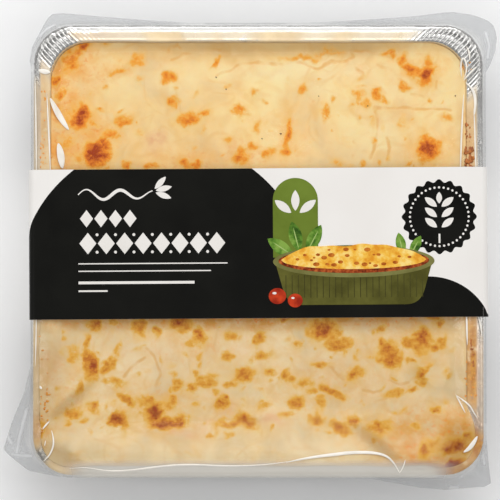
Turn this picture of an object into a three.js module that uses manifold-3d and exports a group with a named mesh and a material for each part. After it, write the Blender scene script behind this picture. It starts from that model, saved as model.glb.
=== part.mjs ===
// Family lasagne in a square foil tray, sealed in a clear film bag, with a printed board sleeve round its middle.
// Millimetres, +Z up. The origin is on the resting plane under the middle of the tray.
// +X runs along the sleeve, and -Y is the edge nearest to someone reading the sleeve.

import * as THREE from 'three';
import { mergeVertices } from 'three/addons/utils/BufferGeometryUtils.js';
import Module from 'manifold-3d';

// Driving dimensions: tray
const TRAY_WIDTH = 218; // over the curled rim, the same both ways
const TRAY_HEIGHT = 40;
const FLANGE_WIDTH = 8;
const FLANGE_DROOP = 1.2; // the flange leans down towards its curl
const CURL_DIAMETER = 3.2;
const WALL_DRAFT = 12.5; // degrees
const RIM_CORNER_RADIUS = 19;
const WALL_CORNER_RADIUS = 18;
const BASE_CORNER_RADIUS = 16;
const BASE_EDGE_RADIUS = 2;
const FOIL = 0.5; // stands for foil of 0.1 mm
const FLUTES_PER_CORNER = 8;
const FLUTE_DEPTH = 0.8; // peak to valley, at the top of the wall
const RIM_FLUTE_SHARE = 0.5; // share of that depth on the flange's inner edge

// Driving dimensions: food
const FOOD_DEPTH = 35.4; // mean level above the inside of the base
const FOOD_SWELL = 0.8; // height of the broad swells in the sauce
const SWELL_LENGTH = { x: 23, y: 27 }; // a swell's length over two pi, each way
const SWELL_START = { x: 0.8, y: -0.5 }; // where the swells start, in radians
const FOOD_FOLD = 0.5; // height of the folds that cross them
const FOLD_LENGTH = { x: 9.5, y: 15 };
const FOLD_SLANT = { x: 0.7, y: -0.4 }; // how far the folds lie aslant
const FOLD_WANDER = 1.3; // how far they bend, in radians
const FRONT_PILLOW = 1.3; // the sauce rises to a smooth pillow along the near edge
const PILLOW_MIDDLE = { x: -18, y: -92 };
const PILLOW_REACH = { x: 62, y: 11 };
const PILLOW_FLATNESS = 4; // power that keeps the pillow level along its length
const FOOD_EDGE_RISE = 1.4; // the sauce climbs the near and side walls
const FAR_EDGE_DIP = 0.9; // and falls away at the far wall
const EDGE_SHARPNESS = 48; // power that keeps both close to the wall
const FAR_SHARPNESS = 4;
const FOOD_RINGS = 11;
const FOOD_ARC_STEPS = 6;
const FOOD_RUN_STEPS = 12;

// Driving dimensions: film bag
const FILM = 0.45; // stands for film of 0.06 mm
const BACK_SEAM_LENGTH = 150;
const BACK_SEAM_GAP = 0.6; // the two edges of the film meet along the underside
const SEAM_CUT_DEPTH = 4 * FILM;
const FILM_DIP = [[0.96, 0.35], [0.92, 0.05], [0.55, 0]]; // share of the way out to the wall, share of the dip left
const EAR_EDGE = 0.6; // two plies, pressed flat
const EAR_DROOP = 1.1; // fall of an ear's edge for each millimetre of its reach
const EAR_FLAT_SHARE = 0.55; // share of an ear's reach that is pressed flat

// Plan outlines of the four film ears, from where each leaves the pack's side to where it joins it again
const EAR_OUTLINES = [
  [[109.8, 83.9], [113.4, 91.6], [115.8, 97.9], [116.8, 105.2], [115.4, 110.5], [112, 113.1],
    [104.7, 115.3], [95, 116.3], [87.8, 115.8], [78.1, 114.3], [58.8, 112.4], [20.1, 110]],
  [[-28.2, 110], [-62.1, 112.4], [-95.9, 115.8], [-100.3, 115.6], [-102.7, 113.4], [-109.9, 98.9],
    [-111.2, 91.6], [-109.8, 85.8]],
  [[-109.9, -60.7], [-119.6, -82.4], [-124.7, -97.4], [-111.9, -107.1], [-95.9, -109.9]],
  [[49.1, -110], [63.6, -112.4], [78.1, -115.3], [90.2, -116.3], [113.7, -114.8], [111.5, -101.8],
    [110.5, -92.1], [109.8, -70.3]],
];

// Driving dimensions: sleeve
const SLEEVE_WIDTH = 72.5; // along Y
const SLEEVE_OFFSET = 3; // its middle lies this far towards +Y
const SLEEVE_TURN = 0.4; // degrees, as it was slipped on
const SLEEVE_SAG = 0.9; // dip of its top panel between the rims
const SLEEVE_BEND = 3; // length of the bend at the foot of each side
const SHOULDER_TURN = THREE.MathUtils.degToRad(75); // how far it wraps the curl before its top panel
const BEND_STEPS = 4;
const BOARD = 0.5;

const GAP = 0.35; // clearance between pieces that touch
const SLEEVE_GAP = 0.75; // room for the sleeve's slight turn
const WELD = 1e-4; // points closer than this are one

// Levels and half widths that follow from them
const filmBase = BOARD + GAP;
const trayBase = filmBase + FILM + GAP;
const rimTop = trayBase + TRAY_HEIGHT;
const trayHalf = TRAY_WIDTH / 2;
const wallTopHalf = trayHalf - FLANGE_WIDTH;
const baseHalf = wallTopHalf - TRAY_HEIGHT * Math.tan(THREE.MathUtils.degToRad(WALL_DRAFT));
const foodBase = trayBase + FOIL + GAP;
const foodTop = trayBase + FOIL + FOOD_DEPTH;

// Stations round a rounded square: quarter 0 is the corner at +X +Y, and each quarter is an arc and then a straight run.
// Every loop made with one list of stations has the same count of points, so loops can be skinned together.
function makeStations(arcSteps, runFractions) {
  const stations = [];
  for (let quarter = 0; quarter < 4; quarter += 1) {
    for (let step = 0; step < arcSteps; step += 1) {
      stations.push({ quarter, arc: step / arcSteps, run: 0 });
    }
    for (const run of runFractions) {
      stations.push({ quarter, arc: 1, run });
    }
  }
  return stations;
}

// The point and the outward direction of one station on a rounded square, in plan.
function planPoint(station, half, radius) {
  const angle = (station.arc * Math.PI) / 2;
  const centre = half - radius;
  const normal = new THREE.Vector2(Math.cos(angle), Math.sin(angle));
  const point = new THREE.Vector2(centre - station.run * 2 * centre, centre).addScaledVector(normal, radius);
  const turn = (station.quarter * Math.PI) / 2;
  const origin = new THREE.Vector2();
  return { point: point.rotateAround(origin, turn), normal: normal.rotateAround(origin, turn) };
}

// One closed loop at height z. push, where given, moves each station outwards by so many millimetres.
function makeLoop(stations, half, radius, z, push = () => 0) {
  return stations.map((station) => {
    const { point, normal } = planPoint(station, half, radius);
    point.addScaledVector(normal, push(station));
    return new THREE.Vector3(point.x, point.y, typeof z === 'function' ? z(point, station) : z);
  });
}

// A closed solid skinned over loops, from a point in the middle of the first loop to one in the middle of the last.
// The loops run up the outside, so the first point is underneath.
function skinLoops(loops, firstPoint, lastPoint) {
  const count = loops[0].length;
  const positions = [...loops.flat(), firstPoint, lastPoint].flatMap((p) => [p.x, p.y, p.z]);
  const first = loops.length * count;
  const last = first + 1;
  const index = [];
  for (let j = 0; j < count; j += 1) {
    const next = (j + 1) % count;
    index.push(first, next, j);
    for (let i = 0; i + 1 < loops.length; i += 1) {
      const low = i * count;
      const high = low + count;
      index.push(low + j, low + next, high + next, low + j, high + next, high + j);
    }
    const top = (loops.length - 1) * count;
    index.push(last, top + j, top + next);
  }
  const geometry = new THREE.BufferGeometry();
  geometry.setAttribute('position', new THREE.Float32BufferAttribute(positions, 3));
  geometry.setIndex(index);
  geometry.computeVertexNormals();
  return geometry;
}

const onAxis = (z) => new THREE.Vector3(0, 0, z);

// Boolean cuts on closed geometries
const wasm = await Module();
wasm.setup();

function toSolid(geometry) {
  const bare = geometry.clone();
  bare.deleteAttribute('normal');
  bare.deleteAttribute('uv');
  const merged = mergeVertices(bare, WELD);
  return new wasm.Manifold(new wasm.Mesh({
    numProp: 3,
    vertProperties: new Float32Array(merged.attributes.position.array),
    triVerts: new Uint32Array(merged.index.array),
  }));
}

function fromSolid(solid) {
  const mesh = solid.getMesh();
  const geometry = new THREE.BufferGeometry();
  geometry.setAttribute('position', new THREE.BufferAttribute(mesh.vertProperties, mesh.numProp));
  geometry.setIndex(new THREE.BufferAttribute(mesh.triVerts, 1));
  geometry.computeVertexNormals();
  return geometry;
}

// Tray and film share stations: two to each corner flute, close together near the corners and sparse between them.
const ARC_STEPS = 2 * FLUTES_PER_CORNER;
const FLUTE_RUN = 0.03; // share of a straight side that half a flute takes beyond the corner
const RUN_FLUTE_STEPS = 4; // half flutes at each end of a straight side
const MID_RUN_FRACTIONS = [0.2, 0.32, 0.5, 0.68, 0.8];
const runStart = Array.from({ length: RUN_FLUTE_STEPS + 1 }, (_, i) => i * FLUTE_RUN);
const runEnd = runStart.slice(1).map((run) => 1 - run).reverse();
const RUN_FRACTIONS = [...runStart, ...MID_RUN_FRACTIONS, ...runEnd];
const shellStations = makeStations(ARC_STEPS, RUN_FRACTIONS);

// Flutes pressed into the foil round each corner and a little way along the sides, full depth at share 1.
function fluteDepth(station, share) {
  const fromCorner = Math.min(station.run, 1 - station.run);
  const fade = station.arc < 1 ? 1 : Math.max(0, 1 - fromCorner / (RUN_FLUTE_STEPS * FLUTE_RUN));
  const steps = station.arc < 1 ? station.arc * ARC_STEPS : Math.round(fromCorner / FLUTE_RUN);
  return (steps % 2 === 0 ? 0.5 : -0.5) * FLUTE_DEPTH * share * fade;
}

// Stops round the curl in degrees, from under the flange to its top. The film follows the outer ones.
const CURL_TURNS = [225, 270, 315, 0, 45, 90];
const FILM_CURL_TURNS = CURL_TURNS.slice(-3);

// The tray: base, drafted wall with fluted corners, a flange that leans out and down, and a curled rim.
function makeTray() {
  const wallFoil = FOIL / Math.cos(THREE.MathUtils.degToRad(WALL_DRAFT));
  const curlRadius = CURL_DIAMETER / 2;
  const curlHalf = trayHalf - curlRadius;
  const curlHeight = rimTop - FLANGE_DROOP - curlRadius;
  const loops = [];
  const add = (half, radius, z, flute = 0) => {
    loops.push(makeLoop(shellStations, half, radius, z, (station) => fluteDepth(station, flute)));
  };
  const rimRadius = (half) => RIM_CORNER_RADIUS - (trayHalf - half);
  add(baseHalf - BASE_EDGE_RADIUS, BASE_CORNER_RADIUS, trayBase);
  add(baseHalf, BASE_CORNER_RADIUS, trayBase + BASE_EDGE_RADIUS);
  add(wallTopHalf, WALL_CORNER_RADIUS, rimTop - FOIL, 1);
  add(curlHalf - curlRadius, rimRadius(curlHalf - curlRadius), rimTop - FLANGE_DROOP - FOIL);
  for (const turn of CURL_TURNS) {
    const angle = THREE.MathUtils.degToRad(turn);
    const half = curlHalf + curlRadius * Math.cos(angle);
    add(half, rimRadius(half), curlHeight + curlRadius * Math.sin(angle));
  }
  add(wallTopHalf, WALL_CORNER_RADIUS, rimTop, RIM_FLUTE_SHARE);
  add(wallTopHalf - wallFoil, WALL_CORNER_RADIUS, rimTop - FOIL, 1);
  add(baseHalf - wallFoil, BASE_CORNER_RADIUS, trayBase + BASE_EDGE_RADIUS);
  add(baseHalf - BASE_EDGE_RADIUS, BASE_CORNER_RADIUS, trayBase + FOIL);
  return skinLoops(loops, onAxis(trayBase), onAxis(trayBase + FOIL));
}

// Height of the sauce: broad swells, folds that cross them, a pillow along the near edge, and its edge at the wall.
function foodHeight({ x, y }, edgeShare) {
  const swell = Math.sin(x / SWELL_LENGTH.x + SWELL_START.x) * Math.cos(y / SWELL_LENGTH.y + SWELL_START.y);
  const wander = FOLD_WANDER * Math.sin(y / SWELL_LENGTH.y);
  const foldAlong = Math.sin((x + FOLD_SLANT.x * y) / FOLD_LENGTH.x + wander);
  const foldAcross = Math.cos((y + FOLD_SLANT.y * x) / FOLD_LENGTH.y);
  const pillowX = (x - PILLOW_MIDDLE.x) / PILLOW_REACH.x;
  const pillowY = (y - PILLOW_MIDDLE.y) / PILLOW_REACH.y;
  const pillow = Math.exp(-(pillowX ** PILLOW_FLATNESS) - pillowY ** 2);
  const waves = FOOD_SWELL * swell + FOOD_FOLD * foldAlong * foldAcross;
  const far = Math.max(0, y / wallTopHalf) ** FAR_SHARPNESS;
  const edge = FOOD_EDGE_RISE * (1 - far) - FAR_EDGE_DIP * far;
  return foodTop + waves * (1 - pillow) + FRONT_PILLOW * pillow + edge * edgeShare ** EDGE_SHARPNESS;
}

// The lasagne: one block that fills the tray, with its sauce in low relief.
function makeLasagne() {
  const runs = Array.from({ length: FOOD_RUN_STEPS }, (_, i) => i / FOOD_RUN_STEPS);
  const stations = makeStations(FOOD_ARC_STEPS, runs);
  const draft = Math.tan(THREE.MathUtils.degToRad(WALL_DRAFT));
  const clear = FOIL + GAP + FLUTE_DEPTH / 2;
  const halfAt = (z) => baseHalf + (z - trayBase) * draft - clear;
  const lowHalf = halfAt(foodBase) - BASE_EDGE_RADIUS;
  const topHalf = halfAt(foodTop - FAR_EDGE_DIP - FOOD_SWELL - FOOD_FOLD);
  const loops = [
    makeLoop(stations, lowHalf, BASE_CORNER_RADIUS, foodBase),
    makeLoop(stations, halfAt(foodBase + BASE_EDGE_RADIUS), BASE_CORNER_RADIUS, foodBase + BASE_EDGE_RADIUS),
  ];
  // Rings from the wall to the middle, closer together near the wall
  for (let ring = FOOD_RINGS; ring > 0; ring -= 1) {
    const share = Math.sin((Math.PI / 2) * (ring / FOOD_RINGS));
    loops.push(makeLoop(stations, topHalf * share, WALL_CORNER_RADIUS * share, (point) => foodHeight(point, share)));
  }
  return skinLoops(loops, onAxis(foodBase), onAxis(foodHeight(new THREE.Vector2(), 0)));
}

// How far a film ear reaches beyond the pack's side at a station: the first crossing of its outline along the normal.
function earReach(station, half, radius) {
  const { point, normal } = planPoint(station, half, radius);
  let reach = 0;
  for (const outline of EAR_OUTLINES) {
    for (let i = 0; i + 1 < outline.length; i += 1) {
      const a = new THREE.Vector2(...outline[i]).sub(point);
      const b = new THREE.Vector2(...outline[i + 1]).sub(point);
      const edge = b.clone().sub(a);
      const cross = normal.cross(edge);
      const along = a.cross(edge) / cross;
      const share = a.cross(normal) / cross;
      if (share >= 0 && share <= 1 && along > reach && along < 2 * RIM_CORNER_RADIUS) {
        reach = along;
      }
    }
  }
  return reach;
}

// Section of the bag from the middle of its base to the middle of its top, offset outwards from the tray and the food.
function bagLoops(offset, withEars) {
  const sideHalf = trayHalf + offset;
  const radius = RIM_CORNER_RADIUS + offset;
  const lowRim = rimTop - FLANGE_DROOP - CURL_DIAMETER;
  const reach = (station) => (withEars ? earReach(station, sideHalf, radius) : 0);
  const tip = (drop) => (_, station) => lowRim - EAR_DROOP * reach(station) - (reach(station) > 0 ? drop : 0);
  const loops = [
    makeLoop(shellStations, baseHalf - BASE_EDGE_RADIUS, BASE_CORNER_RADIUS, trayBase - offset),
    makeLoop(shellStations, baseHalf + offset, BASE_CORNER_RADIUS, trayBase + BASE_EDGE_RADIUS - offset),
  ];
  if (withEars) {
    const root = (station) => (1 - EAR_FLAT_SHARE) * reach(station);
    loops.push(makeLoop(shellStations, sideHalf, radius, tip(2 * EAR_EDGE), root));
    loops.push(makeLoop(shellStations, sideHalf, radius, tip(EAR_EDGE), reach));
  }
  loops.push(makeLoop(shellStations, sideHalf, radius, tip(0), reach));
  // Over the curl, in a quarter turn about its middle
  const curlRadius = CURL_DIAMETER / 2;
  for (const turn of FILM_CURL_TURNS) {
    const angle = THREE.MathUtils.degToRad(turn);
    const inset = (curlRadius + offset) * (1 - Math.cos(angle));
    const rise = (curlRadius + offset) * Math.sin(angle);
    const z = rimTop - FLANGE_DROOP - curlRadius + rise;
    loops.push(makeLoop(shellStations, sideHalf - inset, radius - inset, z));
  }
  loops.push(makeLoop(shellStations, wallTopHalf, WALL_CORNER_RADIUS, rimTop + offset));
  // From the rim the film dips to the food and lies on its swells
  const onFood = foodTop + FOOD_SWELL + FOOD_FOLD + offset;
  const dip = rimTop + offset - onFood;
  for (const [share, rise] of FILM_DIP) {
    loops.push(makeLoop(shellStations, wallTopHalf * share, WALL_CORNER_RADIUS * share, onFood + dip * rise));
  }
  return { loops, base: onAxis(trayBase - offset), top: onAxis(onFood) };
}

// The film bag: the bag's outer form with its inside cut out, open along the back seam.
function makeBag() {
  const outside = bagLoops(GAP + FILM, true);
  const inside = bagLoops(GAP, false);
  const outer = toSolid(skinLoops(outside.loops, outside.base, outside.top));
  const inner = toSolid(skinLoops(inside.loops, inside.base, inside.top));
  const seam = new THREE.BoxGeometry(BACK_SEAM_GAP, BACK_SEAM_LENGTH, SEAM_CUT_DEPTH);
  seam.translate(0, 0, filmBase);
  return fromSolid(outer.subtract(inner).subtract(toSolid(seam)));
}

// Half of the sleeve's section, from the middle of its base to the middle of its top.
// grow is the distance from the film's side, so both faces of the board come from one outline.
function sleeveHalf(grow) {
  const lowX = baseHalf + GAP + FILM + SLEEVE_GAP + grow;
  const lowZ = BOARD - grow;
  const highZ = rimTop + GAP + FILM + GAP + grow;
  const curlX = trayHalf - CURL_DIAMETER / 2;
  const curlZ = rimTop - FLANGE_DROOP - CURL_DIAMETER / 2;
  const shoulderRadius = CURL_DIAMETER / 2 + GAP + FILM + SLEEVE_GAP + grow;
  const path = new THREE.Path();
  path.moveTo(0, lowZ);
  path.lineTo(lowX - SLEEVE_BEND, lowZ);
  path.quadraticCurveTo(lowX, lowZ, lowX + SLEEVE_BEND / 2, lowZ + SLEEVE_BEND);
  path.lineTo(curlX + shoulderRadius, curlZ - CURL_DIAMETER / 2);
  path.absarc(curlX, curlZ, shoulderRadius, 0, SHOULDER_TURN);
  path.lineTo(wallTopHalf, highZ);
  path.quadraticCurveTo(wallTopHalf / 2, highZ - SLEEVE_SAG, 0, highZ - SLEEVE_SAG);
  return path.getPoints(BEND_STEPS);
}

function sleeveOutline(grow) {
  const right = sleeveHalf(grow);
  const left = right.slice(1, -1).map((p) => new THREE.Vector2(-p.x, p.y)).reverse();
  return [...right, ...left];
}

// The sleeve: a band of printed board that closes round the bag.
function makeSleeve() {
  const section = new THREE.Shape(sleeveOutline(BOARD));
  section.holes.push(new THREE.Path(sleeveOutline(0)));
  const geometry = new THREE.ExtrudeGeometry(section, { depth: SLEEVE_WIDTH, bevelEnabled: false });
  geometry.translate(0, 0, -SLEEVE_WIDTH / 2);
  return geometry.rotateX(Math.PI / 2);
}

function addMesh(parent, name, geometry, look) {
  const mesh = new THREE.Mesh(geometry, new THREE.MeshStandardMaterial(look));
  mesh.name = name;
  parent.add(mesh);
  return mesh;
}

const meal = new THREE.Group();
addMesh(meal, 'foil_tray', makeTray(), { color: 0xcfd1d3, roughness: 0.28, metalness: 1 });
addMesh(meal, 'lasagne', makeLasagne(), { color: 0xecd09a, roughness: 0.5, metalness: 0 });
addMesh(meal, 'film_bag', makeBag(), {
  color: 0xe9ebec, roughness: 0.1, metalness: 0, transparent: true, opacity: 0.3,
});
const sleeve = addMesh(meal, 'sleeve', makeSleeve(), { color: 0x1b1b18, roughness: 0.45, metalness: 0 });
sleeve.position.y = SLEEVE_OFFSET;
sleeve.rotation.z = THREE.MathUtils.degToRad(SLEEVE_TURN);

export default meal;
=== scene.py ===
import math

import bmesh
import bpy
import numpy as np
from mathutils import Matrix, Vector


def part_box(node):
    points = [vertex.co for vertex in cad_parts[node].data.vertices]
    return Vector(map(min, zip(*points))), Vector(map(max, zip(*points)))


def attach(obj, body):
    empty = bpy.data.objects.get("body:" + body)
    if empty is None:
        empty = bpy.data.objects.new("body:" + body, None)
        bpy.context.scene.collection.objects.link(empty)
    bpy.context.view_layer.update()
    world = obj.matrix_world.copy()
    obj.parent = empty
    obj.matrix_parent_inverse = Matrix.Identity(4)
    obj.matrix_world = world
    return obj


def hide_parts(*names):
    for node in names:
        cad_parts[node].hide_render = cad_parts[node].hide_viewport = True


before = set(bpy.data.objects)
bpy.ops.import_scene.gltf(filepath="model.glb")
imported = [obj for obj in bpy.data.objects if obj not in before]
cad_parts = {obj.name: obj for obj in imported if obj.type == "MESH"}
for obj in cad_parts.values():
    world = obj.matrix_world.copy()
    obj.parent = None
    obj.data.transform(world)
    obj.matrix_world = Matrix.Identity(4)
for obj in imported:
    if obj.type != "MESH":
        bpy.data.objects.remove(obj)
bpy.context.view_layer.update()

# A foil tray of lasagne in a clear film bag with a printed board sleeve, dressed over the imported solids.
# Lengths are in millimetres until a mesh is made.

MM = 0.001

# The photo's frame: the pixel over the middle of the tray, and the scale at the rim
PHOTO_SIZE = 500
PHOTO_MIDDLE = (258.4, 249.5)
MM_PER_PIXEL = 0.4835

# Sizes from the frame
tray_low, tray_high = np.array(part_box("foil_tray")) / MM
food_low, _ = np.array(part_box("lasagne")) / MM
film_low, _ = np.array(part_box("film_bag")) / MM
_, sleeve_high = np.array(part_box("sleeve")) / MM
TRAY_HALF = tray_high[0]
TRAY_BASE = tray_low[2]
RIM_TOP = tray_high[2]
TRAY_HEIGHT = RIM_TOP - TRAY_BASE
FOOD_BASE = food_low[2]
FILM_BASE = film_low[2]
SLEEVE_TOP = sleeve_high[2]

# Tray
FLANGE_WIDTH = 8
FLANGE_DROOP = 1.2
CURL_RADIUS = 1.6
CURL_HALF = TRAY_HALF - CURL_RADIUS
CURL_HEIGHT = RIM_TOP - FLANGE_DROOP - CURL_RADIUS
WALL_DRAFT = math.tan(math.radians(12.5))
RIM_CORNER_RADIUS = 19
WALL_CORNER_RADIUS = 18
BASE_CORNER_RADIUS = 16
BASE_EDGE_RADIUS = 2
BASE_LOOPS = (0.3, 0.62, 0.66, 0.70, 0.92)  # shares of the way out over the base
BASE_RIB = 0.66  # the loop that is pressed up as a rib
RIB_RISE = 0.6
FOIL = 0.2
WALL_TOP_HALF = TRAY_HALF - FLANGE_WIDTH
BASE_HALF = WALL_TOP_HALF - TRAY_HEIGHT * WALL_DRAFT
WALL_STRAIGHT = 2 * (WALL_TOP_HALF - WALL_CORNER_RADIUS)
FLUTES_PER_CORNER = 13
FLUTE_DEPTH = 0.7
FLUTE_RUN = 14  # length of each straight side's end that has flutes too
FLUTE_PITCH = WALL_CORNER_RADIUS * math.pi / 2 / FLUTES_PER_CORNER
FLUTE_SAMPLES = 6  # stations to each flute
STRAIGHT_SAMPLES = 40
FLUTE_FOOT = 0.3  # share of their depth that the flutes have at the wall's foot
FLUTE_FADE = (0.8, 0.97)  # shares of the wall's height between which they fade
FLUTE_FADED = 0.85
BEAD_RISE = 0.2  # the flange's inner bead: its height, its share of the way in, and its width as a share
BEAD_PLACE = 0.9
BEAD_WIDTH = 0.07
DENT_DEPTH = (0.12, 0.3)  # dents in the crumpled curl: along the sides, and added at the corners
CRUSH_DEPTH = (0.08, 0.4)  # and how far it is crushed down

# Sauce on the tray's rim
BARE_CORNERS = {-1: (87, 93), 1: (70, 80)}  # by side: where the far corners turn from sauce to bare foil
BARE_PATCH = (42, 456, 7, 5, -40, 1)
PATCH_STRENGTH = 1.6
LEFT_STAIN = 0.85
LEFT_WEAKENS = (-40, -20)  # up the left side, where the stain gets weaker, by what share, and where it ends
LEFT_WEAKER = 0.4
LEFT_ENDS = (78, 86)
RIGHT_STAIN = 0.4
RIGHT_ENDS = (-50, -30)
FAR_BARE = 0.5
FAR_STREAK = 7  # length of the streaks of bare foil along the far flange
FAR_FLANGE = (85, 95)
FLANGE_MIDDLE = 0.95  # as a share of the rim's half width
SAUCE_RISE = 0.15
STAIN_CALM = 0.7  # sauce on the curl smooths its crumple by this share
SAUCE_CALM = 0.85  # and sauce on the flange smooths its pleats by this share

# Food
FOOD_TOP = TRAY_BASE + 35.9
FOOD_SWELL = 0.8
SWELL_LENGTH = (23, 27)
SWELL_START = (0.8, -0.5)
FOOD_FOLD = 0.5
FOLD_LENGTH = (9.5, 15)
FOLD_SLANT = (0.7, -0.4)
FOLD_WANDER = 1.3
FRONT_PILLOW = 1.3
PILLOW_MIDDLE = (-18, -92)
PILLOW_REACH = (62, 11)
PILLOW_FLATNESS = 4
FOOD_EDGE_RISE = 1.4
FAR_EDGE_DIP = 0.9
EDGE_SHARPNESS = 48
FAR_SHARPNESS = 4
FOIL_GAP = 0.1
FLUTE_ROOM = 0.4  # below its edge the food keeps this much clear of the fluted wall
WALL_RING = 0.75  # share of the way up from its foot at which the food's wall has a ring
TUCK = 0.05  # the food's edge is tucked in by this much
FOOD_CELLS = 280  # grid cells each way over the food's top

# The food's skin
RIPPLE = 0.12
CRUST_GRAIN = 0.25
CRUST_RISE = 0.18
CREASE_DEPTH = 0.06
CREASE_HALF = 0.8
CREASE_RAGGEDNESS = 0.4
EDGE_CALM = 3  # the relief fades out over this much of the edge
SPOT_SOFTNESS = 0.75
SPOT_FIRMNESS = 1.25
GLOW_SCALE = 2  # a spot's glow is this many times its size, and a margin in pixels
GLOW_MARGIN = 4
WARPS = ((1.6, 9), (1.2, 4), (0.7, 1.8))  # how far the skin's places are moved, and over what size
FAR_SHADE = (90, 99)  # painted shade: the sauce darkens towards the far wall between these, as in the shade of the rim
FAR_SHADE_SIDES = (48, 82)  # and less towards the sides
FAR_SHADE_STRENGTH = 0.47

# Faint small spots: count, then top and bottom in photo pixels, for the near half and the far half
SMALL_SPOTS = ((150, 325, 432), (70, 70, 168))
SMALL_SPOT_SIDES = (56, 455)
SMALL_SPOT_SIZE = (1.2, 3.4)
SMALL_SPOT_STRETCH = (1, 1.8)
SMALL_SPOT_DEPTH = (0.14, 0.36)

# The sauce's edge, which climbs the wall and has run over the near flange
SIDE_EDGE_DROP = 0.5  # from the rim down to the edge, at the sides
FAR_EDGE_DROP = 1.3  # and at the far side
FAR_SIDE = (0.3, 0.9)  # shares of the way to the far wall between which a side becomes the far side
SIDE_CLIMB_REACH = 5.5
FAR_CLIMB_REACH = 3.0
NEAR_CLIMB_REACH = 13
CLIMB_POWER = 1.5
EDGE_STRETCH = 7  # width of the band of sauce that is drawn out to the wall and over it
SPILL_WIDTH = 3.9
SPILL_UNEVENNESS = 0.9
SPILL_DEPTH = 0.3
LEFT_SPILL = 1.6  # the spill is this much wider up the left side
CORNER_SPILL = 5.2  # and this much round the near corners
CORNER_START = (80, 95)
SPILL_END = {-1: (-28, 10), 1: (-84, -72)}  # by side: where the spill fades
SPILL_BLEND = (-40, 40)  # across the pack, from the left end to the right one
LEAST_WIDTH = 0.1

# Film
FILM_OFFSET = 0.5  # from the foil, above and below
FILM_SIDE_OFFSET = 1.2  # from the foil, at the sides
FILM_SIDE_HALF = TRAY_HALF + FILM_SIDE_OFFSET
FILM_SIDE_RADIUS = RIM_CORNER_RADIUS + FILM_SIDE_OFFSET
FILM_CURL = CURL_RADIUS + FILM_OFFSET
FILM_OVER_FOOD = 0.55
FILM_DIP_REACH = 5  # distance over which the film falls from the rim to the food
FILM_SLACK = 0.2
LEAST_SLACK = -0.15
FILM_ARC_STEPS = 60
FILM_SIDE_STEPS = 140
FILM_FINE = 0.6  # spacing of the film's loops near the rim, and further in
FILM_COARSE = 2.6
FINE_END = 28
FILM_END = 100
FILM_REFLECTION = 0.02  # seen straight on
NEAR_MIST = (101, 105)  # the film turns hazy over the near rim between these
MIST_SIDES = (80, 100)  # and clear again towards the corners
SIDE_FOLD = 0.9
SOLID_FILM_OFFSET = 0.8  # from the foil to the outside of the solid bag
EAR_START = 1.5
EAR_EDGE = 0.5
EAR_DROOP = 1.1
EAR_FLAT_SHARE = 0.55
EAR_CRIMP = 0.5
EAR_LEAST = 0.4
BESIDE_RIM = 0.5  # the solid bag counts as beside the rim from this far inside it
FILM_WELD = 0.004
SEAM_HALF = 5
SEAM_START = 2  # from the sleeve's edge
SEAM_END = 72
SEAM_STEPS = 60
SEAM_DEPTH = 0.2
SEAM_CRIMP = 2.5
PINCH_SECTION = np.array([(-0.5, 0), (-0.3, 0.7), (0, 1), (0.3, 0.7), (0.5, 0)])
PINCH_STEP = 0.7
PINCH_HEIGHT = 0.25
PINCH_SINK = 0.04

# Sleeve
BOARD = 0.5
SLEEVE_WIDTH = 72.5
SLEEVE_OFFSET = 3
SLEEVE_TURN = math.radians(0.4)
SLEEVE_SAG = 0.9
SLEEVE_BEND = 3
SLEEVE_ROWS = 31
SHOULDER_TURN = math.radians(75)
FILM_TO_SLEEVE = 1.55  # from the foil to the inside of the board at the shoulders
BOARD_WAVE = 0.07
EDGE_WAVE = 0.12
WAVE_START = 300  # keeps the board's noise clear of that of the food
INK_STEP = 0.03  # each layer of print stands this far above the last
PRINT_CELL = 4  # print is cut this finely on the flat, to follow the board
SHOULDER_CELL = 0.7  # and this finely over the shoulders, out to the print's end
PRINT_END = 130
PRINT_MARGIN = 0.02

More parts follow.
